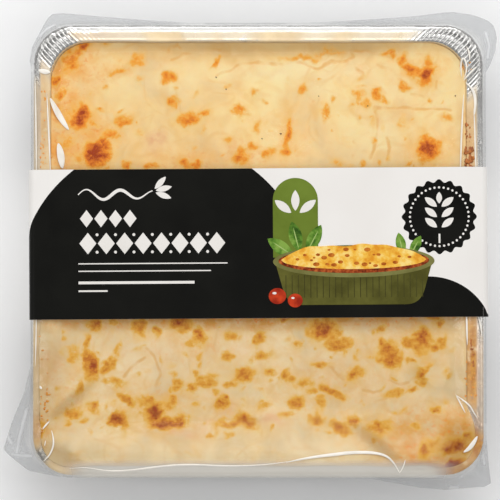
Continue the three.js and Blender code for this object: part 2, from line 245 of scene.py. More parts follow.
# Browned spots: photo x, y, half length and half width in pixels, turn in degrees, depth of browning
BROWNED_SPOTS = [
    (83, 45, 9, 5, 0, 0.72), (70, 60, 15, 8, 65, 0.58), (106, 42, 5, 4, 0, 0.4), (134, 59, 8, 6, 20, 0.5),
    (116, 71, 6, 4, 10, 0.5), (167, 76, 7, 6, 20, 0.55), (216, 60, 9, 3, 55, 0.45),
    (53, 79, 6, 4, 0, 0.72), (79, 117, 12, 11, 0, 0.95), (101, 109, 4, 3, 0, 0.5),
    (124, 119, 8, 6, 10, 0.6), (173, 102, 7, 6, 0, 0.5), (190, 119, 10, 6, 10, 0.62),
    (203, 113, 8, 4, 45, 0.5), (239, 107, 7, 6, 0, 0.55), (109, 134, 8, 6, 0, 0.42),
    (96, 150, 12, 11, 60, 0.92), (67, 142, 9, 7, 0, 0.35), (243, 156, 10, 8, 30, 0.5),
    (185, 161, 7, 5, 0, 0.5), (197, 164, 8, 4, 0, 0.5), (128, 167, 6, 4, 0, 0.5),
    (152, 165, 7, 4, 0, 0.45), (230, 142, 5, 4, 0, 0.35), (106, 87, 5, 4, 0, 0.28),
    (140, 79, 6, 4, 0, 0.28), (141, 132, 6, 4, 0, 0.28), (78, 160, 7, 6, 0, 0.38),
    (391, 52, 8, 4, -10, 0.5), (428, 56, 5, 4, 90, 0.5), (413, 67, 9, 6, -50, 0.66),
    (408, 59, 7, 5, -60, 0.45), (426, 74, 11, 8, 70, 0.88), (405, 83, 6, 5, 0, 0.5),
    (376, 94, 6, 6, 0, 0.55), (357, 93, 6, 5, 0, 0.4), (386, 98, 5, 4, 0, 0.32),
    (364, 102, 5, 4, 0, 0.36), (302, 87, 5, 5, 0, 0.4), (326, 109, 7, 5, 90, 0.45),
    (289, 133, 14, 4, 80, 0.56), (286, 151, 6, 5, 0, 0.52), (271, 152, 5, 5, 0, 0.5),
    (255, 145, 6, 5, 0, 0.5), (429, 147, 11, 8, 110, 0.84), (427, 160, 5, 4, 0, 0.4),
    (448, 117, 6, 5, 0, 0.3), (413, 161, 5, 4, 0, 0.36), (338, 162, 6, 5, 0, 0.32),
    (405, 121, 9, 6, 80, 0.24), (257, 91, 6, 5, 0, 0.3), (255, 123, 8, 5, 90, 0.3),
    (94, 324, 7, 6, 0, 0.7), (113, 320, 4, 3, 0, 0.5), (139, 326, 7, 5, 90, 0.66),
    (156, 331, 5, 5, 0, 0.55), (181, 323, 12, 7, 0, 0.72), (199, 335, 9, 6, 80, 0.66),
    (190, 342, 6, 4, 20, 0.46), (88, 343, 9, 4, 80, 0.5), (117, 348, 8, 4, 65, 0.5),
    (71, 355, 7, 6, 0, 0.4), (90, 367, 14, 7, 108, 0.82), (108, 367, 10, 6, 65, 0.56),
    (80, 386, 7, 5, 80, 0.46), (115, 384, 13, 4, -8, 0.38), (74, 410, 8, 6, 20, 0.55),
    (93, 405, 7, 6, 20, 0.6), (82, 420, 4, 4, 0, 0.32), (70, 423, 5, 4, 0, 0.38),
    (120, 421, 10, 8, 0, 0.88), (129, 400, 10, 4, -28, 0.6), (147, 398, 8, 6, 0, 0.6),
    (157, 412, 12, 9, 80, 0.88), (166, 424, 15, 6, 8, 0.86), (180, 420, 8, 6, 70, 0.76),
    (172, 402, 8, 6, 70, 0.56), (176, 383, 7, 6, 0, 0.56), (198, 373, 5, 4, 0, 0.5),
    (207, 381, 10, 6, 0, 0.6), (193, 386, 6, 6, 0, 0.56), (226, 358, 7, 5, 90, 0.46),
    (233, 335, 6, 5, 0, 0.4), (231, 384, 6, 4, 0, 0.5), (244, 375, 10, 7, 10, 0.66),
    (223, 404, 7, 6, -30, 0.66), (231, 423, 14, 5, 0, 0.6), (247, 421, 10, 8, 0, 0.7),
    (211, 434, 7, 3, 0, 0.46), (231, 435, 5, 3, 0, 0.5), (216, 393, 5, 4, 0, 0.36),
    (172, 372, 4, 4, 0, 0.3), (287, 320, 11, 4, 0, 0.66), (322, 327, 11, 9, 0, 0.82),
    (339, 343, 11, 5, 0, 0.66), (334, 334, 8, 7, 0, 0.5), (259, 338, 9, 5, 80, 0.64),
    (298, 348, 7, 5, 0, 0.46), (262, 356, 8, 4, 25, 0.5), (382, 328, 6, 5, 0, 0.6),
    (421, 340, 12, 9, 80, 0.82), (410, 344, 8, 6, 0, 0.6), (433, 347, 4, 3, 0, 0.6),
    (441, 341, 5, 5, 0, 0.56), (441, 324, 5, 4, 0, 0.56), (436, 317, 8, 3, 0, 0.6),
    (379, 343, 5, 5, 0, 0.5), (389, 356, 13, 10, -40, 0.74), (412, 363, 5, 4, 0, 0.46),
    (424, 370, 10, 4, 40, 0.66), (422, 380, 6, 5, 0, 0.6), (357, 373, 9, 7, 20, 0.6),
    (320, 364, 9, 4, -10, 0.42), (270, 373, 6, 5, 0, 0.5), (286, 376, 7, 5, 90, 0.5),
    (294, 382, 5, 4, 0, 0.4), (307, 385, 7, 5, 0, 0.6), (313, 394, 6, 4, 0, 0.46),
    (325, 388, 6, 5, 0, 0.56), (334, 394, 10, 5, -20, 0.66), (297, 401, 8, 6, 0, 0.66),
    (321, 405, 6, 5, 90, 0.46), (263, 405, 8, 5, 20, 0.5), (286, 413, 6, 4, 0, 0.4),
    (318, 418, 8, 6, 0, 0.6), (340, 427, 9, 6, 0, 0.7), (355, 419, 7, 6, 0, 0.7),
    (380, 427, 13, 9, 0, 0.55), (395, 394, 10, 4, 5, 0.4), (411, 391, 5, 4, 0, 0.46),
    (438, 410, 8, 4, 0, 0.55), (416, 426, 5, 4, 0, 0.4), (425, 451, 9, 6, 70, 0.62),
    (448, 449, 9, 7, 0, 0.76), (458, 446, 12, 9, 20, 0.78), (376, 441, 3, 3, 0, 0.42),
    (452, 465, 12, 4, 14, 0.9), (434, 466, 9, 3, 0, 0.62), (62, 48, 7, 5, 0, 0.5),
    (58, 94, 7, 4, 60, 0.5), (300, 58, 24, 3, 0, 0.3), (328, 53, 16, 5, 10, 0.36),
    (465, 438, 9, 5, 60, 0.6), (445, 449, 5, 4, 0, 0.86), (40, 432, 6, 2.5, 80, 0.6),
    (43, 424, 3, 2, 0, 0.5), (430, 447, 14, 9, 10, 0.4),
]

# Broad orange tints of oil, and pink ones of sauce showing through, given as the spots are. The last oil
# tint, a long band along under the sleeve's near edge, is painted shade, warm as oil
OIL_TINTS_AND_SHADE_BAND = [
    (58, 75, 22, 12, 75, 1.0), (72, 56, 24, 16, 60, 0.9), (62, 108, 22, 16, 90, 0.8),
    (62, 148, 22, 18, 90, 0.85), (88, 132, 22, 14, 0, 0.6), (106, 72, 24, 10, 20, 0.4),
    (416, 68, 20, 14, 0, 0.35), (248, 155, 20, 14, 0, 0.4), (190, 160, 30, 10, 0, 0.35),
    (290, 140, 12, 22, 0, 0.3), (425, 452, 30, 16, 0, 1.0), (456, 436, 16, 24, 0, 1.0),
    (408, 428, 40, 16, 10, 0.6), (60, 390, 20, 26, 0, 0.25), (42, 428, 8, 14, 0, 0.6),
    (150, 398, 40, 16, 0, 0.25), (330, 385, 60, 26, 0, 0.2), (200, 345, 60, 20, 0, 0.2),
    # The last entry on the line below is painted shade: a warm band along under the sleeve's near edge
    (400, 345, 50, 24, 0, 0.2), (430, 150, 20, 16, 0, 0.25), (258, 317, 215, 9, 0, 1.0),
]
PINK_TINTS = [
    (158, 139, 10, 8, 60, 0.8), (176, 430, 22, 5, -5, 0.75), (226, 407, 12, 8, -30, 0.5),
    (272, 418, 12, 5, -15, 0.5), (48, 365, 9, 16, 0, 0.3), (240, 152, 16, 8, 0, 0.35),
    (414, 449, 8, 10, 0, 0.5), (205, 424, 14, 6, 20, 0.4),
]

# Pale pools of sauce, in the same way
PALE_POOLS = [
    (168, 80, 24, 14, 0, 0.8), (285, 70, 66, 9, 0, 1.0), (318, 88, 14, 10, 0, 0.6),
    (400, 88, 50, 18, 0, 0.55), (378, 136, 24, 26, 0, 0.6), (440, 108, 22, 26, 0, 0.5),
    (144, 358, 40, 20, 0, 0.75), (238, 350, 20, 12, 0, 0.6), (336, 362, 22, 14, 0, 0.55),
    (378, 382, 20, 10, 0, 0.55), (120, 80, 16, 9, 0, 0.4), (398, 348, 12, 10, 0, 0.5),
]

# Creases in the sauce's skin, in photo pixels
CREASES = [
    [(250, 60), (278, 63), (304, 62), (318, 68), (331, 61), (346, 60), (354, 56), (350, 51)],
    [(316, 56), (332, 51), (352, 50), (371, 50), (390, 56), (403, 62)],
    [(354, 65), (363, 72), (362, 81)],
    [(379, 65), (393, 69), (400, 77)],
    [(411, 93), (425, 95), (444, 93)],
    [(374, 106), (397, 107), (425, 108), (452, 109)],
    [(376, 109), (378, 120), (374, 145), (370, 158)],
    [(368, 131), (354, 141), (358, 148), (352, 156)],
    [(387, 136), (390, 148), (389, 161)],
    [(305, 91), (312, 101)],
    [(438, 81), (437, 88), (441, 94)],
    [(171, 59), (182, 53), (201, 49), (220, 48)],
    [(167, 51), (169, 46), (177, 43), (181, 46)],
    [(217, 74), (230, 69), (238, 62), (259, 60)],
    [(145, 69), (158, 68), (160, 64)],
    [(145, 347), (153, 355), (159, 372), (155, 386)],
    [(144, 358), (131, 366), (124, 377)],
    [(363, 390), (373, 391), (382, 390)],
    [(365, 407), (377, 401), (388, 398)],
    [(387, 410), (398, 414), (406, 412)],
    [(392, 372), (390, 380), (398, 385), (408, 382)],
    [(329, 367), (344, 379)],
]

# Broad hollows in the sauce: depth, half width in millimetres, then points in photo pixels
HOLLOWS = [
    (0.9, 4.0, [(44, 432), (64, 416), (84, 404), (110, 396)]),
    (0.8, 4.5, [(378, 430), (388, 448), (408, 464)]),
]

# Pinched creases in the film, as near-white ridges, partly catching the light and partly painted highlight:
# greatest width in millimetres, then points in photo pixels
PINCHES_AND_PAINTED_HIGHLIGHTS = [
    (2.9, [(50, 98), (55, 108), (61, 119), (68, 129)]),
    (3.4, [(58, 143), (60, 152), (61, 160), (62, 168)]),
    (0.9, [(462, 76), (461, 64), (463, 56), (467, 62), (467, 72), (464, 78)]),
    (0.9, [(464, 80), (470, 73), (477, 66)]),
    (0.9, [(467, 46), (470, 52), (470, 60)]),
    (1.0, [(70, 468), (88, 467), (108, 471), (132, 470), (160, 466), (190, 464), (225, 466),
           (262, 465), (290, 461)]),
    (1.6, [(286, 462), (310, 457), (335, 454), (352, 452), (372, 452), (386, 455), (394, 463),
           (399, 472)]),
    (0.7, [(405, 459), (403, 467), (399, 473)]),
    (0.7, [(456, 395), (460, 403), (465, 413)]),
    (0.8, [(456, 395), (464, 401), (470, 406), (473, 412), (477, 418)]),
    (0.9, [(43, 429), (47, 424), (50, 421)]),
    (0.9, [(52, 430), (54, 438), (54, 446), (50, 455), (44, 461)]),
    (0.5, [(46, 440), (45, 446)]),
    (1.4, [(466, 82), (474, 90), (476, 100), (475, 114)]),
    # A glint on the foil at the near right corner, as a painted highlight
    (2.2, [(463, 452), (468, 449), (473, 443), (477, 436)]),
    (1.2, [(40, 386), (42, 389)]),
    # From here on they stand only for highlights, painted: a glint on the foil at the far left corner, then
    # white lines along the curl and bead of the rims
    (2.4, [(38, 69.5), (43, 71), (50, 72)]),
    (0.7, [(34.5, 74), (35.2, 100), (35.8, 135), (36.5, 178)]),
    (0.8, [(46.5, 92), (47.6, 115), (49, 140), (50.5, 178)]),
    (0.6, [(36.5, 308), (36.3, 330), (35.5, 366)]),
    (0.8, [(464, 94), (462.8, 115), (461.5, 140), (460.5, 178)]),
    (0.8, [(474, 108), (475, 125), (475.5, 150), (476.5, 178)]),
    (0.9, [(466, 306), (466.5, 322), (467, 345)]),
    (0.8, [(476, 310), (480, 322), (482, 336)]),
]

# White creases in the ears of the film, partly the whitening of creased film and partly painted highlight, in
# photo pixels, and their half width in millimetres
EAR_CREASES_AND_GLINTS = [
    [(5, 436), (9, 443)], [(11, 455), (20, 456), (31, 456)], [(15, 453), (20, 432), (26, 410)],
    [(451, 488), (459, 488)], [(481, 443), (485, 464)], [(461, 476), (462, 476)],
    [(39, 34), (46, 27), (53, 24)], [(488, 30), (491, 44), (489, 56)],
]
EAR_CREASE_WIDTH = 0.8

# Patches of painted shade, laid on as a warm dark tint of the film over what is under it, given as the spots
# are
FILM_SHADE_TINTS = [
    (40, 372, 66, 20, 90, 0.62), (67, 404, 30, 6, 39, 0.8), (56, 456, 34, 12, -25, 0.85),
    (376, 443, 30, 7, -39, 0.85), (458, 446, 24, 17, 40, 0.8), (425, 466, 34, 5, 0, 0.9),
    (450, 468, 18, 6, 8, 1.0), (262, 102, 26, 13, 0, 0.4), (304, 136, 38, 17, 0, 0.4),
    (330, 106, 15, 9, 0, 0.4), (116, 100, 38, 10, 0, 0.36), (256, 413, 16, 9, 0, 0.5),
    (434, 374, 26, 13, 0, 0.5), (92, 450, 17, 9, 0, 0.5), (388, 78, 20, 12, 0, 0.36),
    (338, 416, 22, 9, 0, 0.4),
]
SHADE_TINT_FIRMNESS = 1.6

# Where the thin sauce on the flange is orange, given as the spots are
ORANGE_FLANGE = [
    (472, 366, 60, 11, 90, 1.0), (466, 428, 24, 14, 90, 0.95), (428, 467, 34, 9, 0, 0.6),
    (38, 428, 16, 8, 90, 0.7), (42, 118, 46, 6, 90, 0.45), (470, 148, 32, 7, 90, 0.6),
    (40, 360, 40, 6, 90, 0.2), (84, 32, 26, 7, 0, 0.4), (466, 64, 8, 6, 90, 0.4),
    (474, 438, 34, 16, 90, 1.0), (450, 473, 30, 9, 15, 0.9),
]

# Specks on the rims: photo box, count, smallest and largest radius in millimetres
OIL_SPECKS = [
    ((36, 85, 48, 166), 46, 0.2, 0.55), ((35, 325, 48, 430), 30, 0.25, 0.55),
    ((38, 393, 50, 413), 14, 0.35, 0.75), ((460, 60, 474, 76), 9, 0.25, 0.5),
    ((464, 360, 476, 400), 34, 0.2, 0.55), ((40, 150, 60, 168), 14, 0.2, 0.5),
]
SAUCE_SMEARS = [
    ((466, 124, 470, 150), 12, 0.4, 1.0), ((466, 148, 472, 172), 20, 0.8, 1.7),
    ((470, 336, 473, 366), 10, 0.3, 0.8),
]
SPECK_LIFT = 0.1

# Grains of pepper: photo x, y and radius in millimetres
PEPPER_GRAINS = [
    (281, 133, 0.4), (368, 105, 0.3), (319, 95, 0.25), (226, 88, 0.3), (456, 95, 0.35), (216, 76, 0.35),
    (262, 138, 0.3),
]

# Lights: name, azimuth from +X towards +Y, elevation, distance, size, power
LIGHTS = [
    ("overhead", 90, 60, 1.8, (2.4, 1.1), 9.5),
    ("near_panel", 270, 69, 1.8, (1.8, 0.8), 4),
    ("key", 90, 38, 1.6, (1.2, 0.4), 8.2),
    ("left_strip", 180, 40, 1.5, (0.12, 1.0), 1.2),
    ("right_strip", 0, 40, 1.5, (0.12, 1.0), 1.2),
]
WORLD_STRENGTH = 0.44
CAMERA_DISTANCE = 1.6
CAMERA_ELEVATION = math.radians(88)
FLOOR_HALF = 3.0


# Places, noise and outlines


def from_photo(points):
    """Plan places in millimetres of points given in photo pixels."""
    return (np.asarray(points, float) - PHOTO_MIDDLE) * (MM_PER_PIXEL, -MM_PER_PIXEL)


def srgb(red, green, blue):
    """The linear colour of an 8-bit screen colour."""
    channels = np.array([red, green, blue]) / 255
    linear = np.where(channels <= 0.04045, channels / 12.92, ((channels + 0.055) / 1.055) ** 2.4)
    return (*linear.tolist(), 1.0)


def smoothstep(low, high, value):
    share = np.clip((value - low) / (high - low), 0, 1)
    return share * share * (3 - 2 * share)


def lattice_noise(x, y, size, seed):
    """Smooth noise from -1 to 1 in plan, with features about size millimetres across."""
    count = 256
    lattice = np.random.default_rng(seed).uniform(-1, 1, (count, count))
    u, v = np.asarray(x) / size, np.asarray(y) / size
    i, j = np.floor(u).astype(int), np.floor(v).astype(int)
    a, b = smoothstep(0, 1, u - i), smoothstep(0, 1, v - j)
    i, j, right, up = i % count, j % count, (i + 1) % count, (j + 1) % count
    low = lattice[i, j] * (1 - a) + lattice[right, j] * a
    high = lattice[i, up] * (1 - a) + lattice[right, up] * a
    return low * (1 - b) + high * b


def line_distance(x, y, points):
    """Distance in plan from each place to a line through points."""
    nearest = np.full(np.shape(x), np.inf)
    for (ax, ay), (bx, by) in zip(points, points[1:]):
        along_x, along_y = bx - ax, by - ay
        share = ((x - ax) * along_x + (y - ay) * along_y) / (along_x**2 + along_y**2)
        share = np.clip(share, 0, 1)
        nearest = np.minimum(nearest, np.hypot(x - ax - share * along_x, y - ay - share * along_y))
    return nearest


def nearest_line(x, y, lines):
    """Distance in plan from each place to the nearest of some lines given in photo pixels."""
    return np.min([line_distance(x, y, from_photo(line)) for line in lines], axis=0)


def run_length(points):
    """Distance along a line at each of its points."""
    return np.concatenate([[0], np.cumsum(np.hypot(*np.diff(points, axis=0).T))])


def line_normals(points):
    """The way to the left of a line at each of its points."""
    slope = np.gradient(points, axis=0)
    return np.column_stack([-slope[:, 1], slope[:, 0]]) / np.hypot(*slope.T)[:, None]


def outside_square(x, y, half, radius):
    """Distance of places outside a rounded square in plan, and the way out from it."""
    flat = half - radius
    over_x, over_y = np.maximum(np.abs(x) - flat, 0), np.maximum(np.abs(y) - flat, 0)
    length = np.maximum(np.hypot(over_x, over_y), 1e-9)
    return length - radius, np.sign(x) * over_x / length, np.sign(y) * over_y / length


def make_stations(arc_steps, run_fractions):
    """Quarter, arc share and run share of each station round a rounded square."""
    rows = []
    for quarter in range(4):
        rows += [(quarter, step / arc_steps, 0.0) for step in range(arc_steps)]
        rows += [(quarter, 1.0, run) for run in run_fractions]
    return np.array(rows).T


def plan_loop(stations, half, radius):
    """Points and outward directions of the stations on a rounded square."""
    quarter, arc, run = stations
    angle = arc * math.pi / 2
    centre = half - radius
    normal = np.stack([np.cos(angle), np.sin(angle)])
    point = np.stack([centre - 2 * centre * run, np.full_like(run, centre)]) + normal * radius
    turn = quarter * math.pi / 2
    spin = np.array([[np.cos(turn), -np.sin(turn)], [np.sin(turn), np.cos(turn)]])
    return np.einsum("ijn,jn->in", spin, point), np.einsum("ijn,jn->in", spin, normal)


def raise_loop(stations, half, radius, z, push=0.0):
    """One loop of 3-D points at height z, with each station pushed outwards."""
    point, normal = plan_loop(stations, half, radius)
    point = point + normal * push
    return np.column_stack([point[0], point[1], np.broadcast_to(z, point[0].shape)])


# Meshes, pieces and materials


def join_rings(near, far, back=False):
    """Quads between two rings of vertices, wound from near to far, or the other way round."""
    quads = np.column_stack([near, far, np.roll(far, -1), np.roll(near, -1)])
    if back:
        quads = quads[:, [0, 3, 2, 1]]
    return quads.tolist()


def skin_loops(loops):
    """Vertices and faces over closed loops that run up the outside, with a fan over the first and last."""
    count = len(loops[0])
    middles = [loop.mean(axis=0) for loop in (loops[0], loops[-1])]
    verts = np.vstack([*loops, *middles])
    rings = np.arange(len(loops) * count).reshape(len(loops), count)
    low_fan, high_fan = np.full(count, len(verts) - 2), np.full(count, len(verts) - 1)
    faces = np.column_stack([low_fan, np.roll(rings[0], -1), rings[0]]).tolist()
    for low, high in zip(rings, rings[1:]):
        faces += join_rings(low, high, back=True)
    faces += np.column_stack([high_fan, rings[-1], np.roll(rings[-1], -1)]).tolist()
    return verts, faces


def tube_faces(start, count, sides):
    """Faces of a closed tube whose rings of vertices follow each other from a first vertex."""
    rings = start + np.arange(count * sides).reshape(count, sides)
    faces = []
    for low, high in zip(rings, rings[1:]):
        faces += join_rings(low, high, back=True)
    return faces + [rings[0, ::-1].tolist(), rings[-1].tolist()]


def place_piece(name, mesh, material, node=None):
    """A piece that rides on the only body, and may stand for a solid."""
    mesh.materials.append(material)
    piece = bpy.data.objects.new(name, mesh)
    bpy.context.scene.collection.objects.link(piece)
    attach(piece, "root")
    if node:
        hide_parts(node)
    return piece


def make_piece(name, verts, faces, material, node=None, smooth=True):
    """A piece from vertices in millimetres."""
    mesh = bpy.data.meshes.new(name)
    mesh.from_pydata((np.asarray(verts) * MM).tolist(), [], faces)
    mesh.polygons.foreach_set("use_smooth", [smooth] * len(mesh.polygons))
    mesh.update()
    return place_piece(name, mesh, material, node)


def give_attribute(piece, name, values):
    attribute = piece.data.attributes.new(name, "FLOAT", "POINT")
    attribute.data.foreach_set("value", np.asarray(values, np.float32))


class Graph:
    """Builds one material's nodes. An input is a constant or another node's socket."""

    def __init__(self, name):
        self.material = bpy.data.materials.new(name)
        self.material.use_nodes = True
        self.tree = self.material.node_tree
        self.tree.nodes.clear()
        self.place = self.node("ShaderNodeTexCoord").outputs["Object"]

    def node(self, kind, inputs=None, **settings):
        node = self.tree.nodes.new(kind)
        for key, value in settings.items():
            setattr(node, key, value)
        for key, value in (inputs or {}).items():
            if isinstance(value, bpy.types.NodeSocket):
                self.tree.links.new(value, node.inputs[key])
            else:
                node.inputs[key].default_value = value
        return node

    def noise(self, size, detail=2.0, roughness=0.5, distortion=0.0):
        """Noise from 0 to 1 with features about size millimetres across."""
        inputs = {"Vector": self.place, "Scale": 1 / (size * MM), "Detail": detail}
        inputs |= {"Roughness": roughness, "Distortion": distortion}
        return self.node("ShaderNodeTexNoise", inputs).outputs["Fac"]

    def maths(self, operation, first, second=0.0, clamp=False):
        node = self.node("ShaderNodeMath", {0: first, 1: second}, operation=operation, use_clamp=clamp)
        return node.outputs[0]

    def plus(self, first, second, clamp=False):
        return self.maths("ADD", first, second, clamp)

    def times(self, first, second, clamp=False):
        return self.maths("MULTIPLY", first, second, clamp)

    def ramp(self, value, stops):
        node = self.node("ShaderNodeValToRGB", {"Fac": value})
        elements = node.color_ramp.elements
        while len(elements) < len(stops):
            elements.new(0.5)
        for element, (position, colour) in zip(elements, stops):
            element.position = position
            element.color = colour
        return node.outputs["Color"]

    def map(self, value, low, high, new_low=0.0, new_high=1.0):
        inputs = {"Value": value, "From Min": low, "From Max": high, "To Min": new_low, "To Max": new_high}
        return self.node("ShaderNodeMapRange", inputs, interpolation_type="SMOOTHSTEP").outputs["Result"]

    def mix(self, share, first, second):
        node = self.node("ShaderNodeMix", {0: share, 6: first, 7: second}, data_type="RGBA")
        return node.outputs[2]

    def attribute(self, name):
        return self.node("ShaderNodeAttribute", attribute_name=name).outputs["Fac"]

    def bump(self, height, distance, strength=1.0):
        inputs = {"Height": height, "Distance": distance * MM, "Strength": strength}
        return self.node("ShaderNodeBump", inputs).outputs["Normal"]

    def principled(self, **inputs):
        named = {key.replace("_", " "): value for key, value in inputs.items()}
        return self.node("ShaderNodeBsdfPrincipled", named).outputs["BSDF"]

    def transparent(self, colour):
        return self.node("ShaderNodeBsdfTransparent", {"Color": colour}).outputs["BSDF"]

    def blend(self, share, first, second):
        """A mix of two shaders."""
        return self.node("ShaderNodeMixShader", {0: share, 1: first, 2: second}).outputs["Shader"]

    def finish(self, shader):
        self.node("ShaderNodeOutputMaterial", {"Surface": shader})
        return self.material


# The food and the sauce


def food_height(x, y, edge_share):
    """Height of the sauce: swells, folds, a pillow along the near edge, and its edge at the wall."""
    swell = np.sin(x / SWELL_LENGTH[0] + SWELL_START[0]) * np.cos(y / SWELL_LENGTH[1] + SWELL_START[1])
    wander = FOLD_WANDER * np.sin(y / SWELL_LENGTH[1])
    fold_along = np.sin((x + FOLD_SLANT[0] * y) / FOLD_LENGTH[0] + wander)
    fold_across = np.cos((y + FOLD_SLANT[1] * x) / FOLD_LENGTH[1])
    pillow_x = (x - PILLOW_MIDDLE[0]) / PILLOW_REACH[0]
    pillow_y = (y - PILLOW_MIDDLE[1]) / PILLOW_REACH[1]
    pillow = np.exp(-(pillow_x**PILLOW_FLATNESS) - pillow_y**2)
    waves = FOOD_SWELL * swell + FOOD_FOLD * fold_along * fold_across
    far = np.maximum(0, y / WALL_TOP_HALF) ** FAR_SHARPNESS
    edge = FOOD_EDGE_RISE * (1 - far) - FAR_EDGE_DIP * far
    height = FOOD_TOP + waves * (1 - pillow) + FRONT_PILLOW * pillow + edge * edge_share**EDGE_SHARPNESS
    return height - hollow_depth(x, y)


def flange_height(x, y):
    """Height of the flange's top, which leans from the wall down to the middle of the curl."""
    past_wall, _, _ = outside_square(x, y, WALL_TOP_HALF, WALL_CORNER_RADIUS)
    past_curl, _, _ = outside_square(x, y, CURL_HALF, RIM_CORNER_RADIUS - CURL_RADIUS)
    width = np.maximum(past_wall - past_curl, LEAST_WIDTH)
    return RIM_TOP - FLANGE_DROOP * np.clip(past_wall / width, 0, 1)


def spilled(x, y):
    """1 where sauce has run over the flange, at the near side and up the left one, and 0 elsewhere."""
    left, right = (1 - smoothstep(*SPILL_END[side], y) for side in (-1, 1))
    return left + (right - left) * smoothstep(*SPILL_BLEND, x)


def corner_nearness(x, y):
    """1 round the corners of the pack, fading to 0 along its sides."""
    return smoothstep(*CORNER_START, np.minimum(np.abs(x), np.abs(y)))


def spill_width(x, y):
    left = LEFT_SPILL * smoothstep(*CORNER_START, -x)
    unevenness = SPILL_UNEVENNESS * lattice_noise(x, y, size=16, seed=17)
    wider = np.maximum(CORNER_SPILL * corner_nearness(x, y), left) + unevenness
    return spilled(x, y) * (SPILL_WIDTH + wider)


def far_share(y):
    """0 at the near side, rising along the sides to 1 at the far side."""
    return smoothstep(*FAR_SIDE, y / WALL_TOP_HALF)


def edge_level(x, y):
    """Height of the sauce's edge at the wall."""
    drop = SIDE_EDGE_DROP + (FAR_EDGE_DROP - SIDE_EDGE_DROP) * far_share(y)
    return RIM_TOP - drop + (drop + SPILL_DEPTH) * spilled(x, y)


def sauce_top(x, y):
    """Height of the sauce with its edge, and of the sauce on the flange outside the wall."""
    body = food_height(x, y, edge_share(x, y))
    over, _, _ = outside_square(x, y, food_half(RIM_TOP), WALL_CORNER_RADIUS)
    reach = SIDE_CLIMB_REACH + (FAR_CLIMB_REACH - SIDE_CLIMB_REACH) * far_share(y)
    reach = reach + (NEAR_CLIMB_REACH - reach) * spilled(x, y)
    climb = np.exp(-((np.maximum(-over, 0) / reach) ** CLIMB_POWER))
    inside = body + (edge_level(x, y) - body) * climb
    thin = 1 - np.clip(over / np.maximum(spill_width(x, y), LEAST_WIDTH), 0, 1) ** 2
    return np.where(over > 0, flange_height(x, y) + SPILL_DEPTH * spilled(x, y) * thin, inside)


def hollow_depth(x, y):
    depth = 0
    for deepest, width, points in HOLLOWS:
        depth = depth + deepest * np.exp(-((line_distance(x, y, from_photo(points)) / width) ** 2))
    return depth


def food_half(z):
    """Half width of the food at height z, just inside the foil."""
    share = (z - TRAY_BASE - BASE_EDGE_RADIUS) / (TRAY_HEIGHT - BASE_EDGE_RADIUS - FOIL)
    return BASE_HALF + (WALL_TOP_HALF - BASE_HALF) * share - FOIL - FOIL_GAP


FOOD_HALF = food_half(FOOD_TOP - FAR_EDGE_DIP)


def edge_share(x, y):
    """How far out a place is from the middle of the food to its wall, from 0 to 1."""
    return np.clip(np.maximum(np.abs(x), np.abs(y)) / FOOD_HALF, 0, 1)


def spot_field(x, y, spots, firmness=1.0):
    """The strongest of some soft oval spots at each place. The firmer they are, the flatter and steeper."""
    field = np.zeros_like(x)
    for px, py, long, wide, turn, strength in spots:
        cx, cy = from_photo((px, py))
        angle = math.radians(turn)
        along = (x - cx) * math.cos(angle) + (y - cy) * math.sin(angle)
        across = (y - cy) * math.cos(angle) - (x - cx) * math.sin(angle)
        reach = (along / (long * MM_PER_PIXEL)) ** 2 + (across / (wide * MM_PER_PIXEL)) ** 2
        field = np.maximum(field, strength * np.exp(-SPOT_SOFTNESS * reach**firmness))
    return field


def small_spots(seed):
    """Faint small spots between the main ones: many in the near half, few in the far half."""
    draw = np.random.default_rng(seed)
    spots = []
    for count, top, bottom in SMALL_SPOTS:
        for _ in range(count):
            size = draw.uniform(*SMALL_SPOT_SIZE)
            place = (draw.uniform(*SMALL_SPOT_SIDES), draw.uniform(top, bottom))
            length = size * draw.uniform(*SMALL_SPOT_STRETCH)
            spots.append((*place, length, size, draw.uniform(0, 180), draw.uniform(*SMALL_SPOT_DEPTH)))
    return spots


def square_to_rounded(u, v, half, radius):
    """Maps a square of the given half width onto a rounded square, moving only its corners."""
    flat = half - radius
    a = np.clip((np.abs(u) - flat) / radius, 0, 1)
    b = np.clip((np.abs(v) - flat) / radius, 0, 1)
    x = np.where(a > 0, flat + radius * a * np.sqrt(1 - b**2 / 2), np.abs(u))
    y = np.where(b > 0, flat + radius * b * np.sqrt(1 - a**2 / 2), np.abs(v))
    return np.sign(u) * x, np.sign(v) * y


# Tones of the sauce for the near half and the far half, as painted light: the far half has warmer tones, as
# if lit more warmly, and the near half greyer ones
CREAM_NEAR = [(0.3, srgb(219, 195, 153)), (0.52, srgb(237, 213, 169)), (0.7, srgb(242, 221, 180))]
CREAM_FAR = [(0.3, srgb(236, 206, 154)), (0.5, srgb(250, 217, 158)), (0.68, srgb(255, 230, 172))]
GOLDEN = (srgb(236, 194, 118), srgb(252, 204, 122))
PALE = (srgb(242, 220, 182), srgb(255, 233, 182))
OILY = (srgb(226, 164, 78), srgb(244, 174, 90))
LINED = (srgb(220, 166, 84), srgb(232, 170, 78))
OIL_BEADS = srgb(240, 144, 46)
PINK = srgb(232, 168, 126)
# Painted shade towards the far wall, where the rim shades the sauce
PAINTED_SHADE_TONE = srgb(214, 168, 98)
# Tones of browning from light to dark, and the depth of browning at which each is reached
BROWN_STOPS = (0.14, 0.32, 0.52, 0.72, 0.95)
# Near and far tones of browning; the far ones are warmer, as painted light
BROWN_NEAR = [(234, 192, 112), (230, 176, 78), (220, 154, 52), (200, 120, 38), (160, 78, 24)]
BROWN_FAR = [(247, 200, 116), (246, 178, 76), (242, 150, 40), (216, 114, 32), (170, 66, 18)]
RED_STIPPLE = srgb(172, 56, 18)


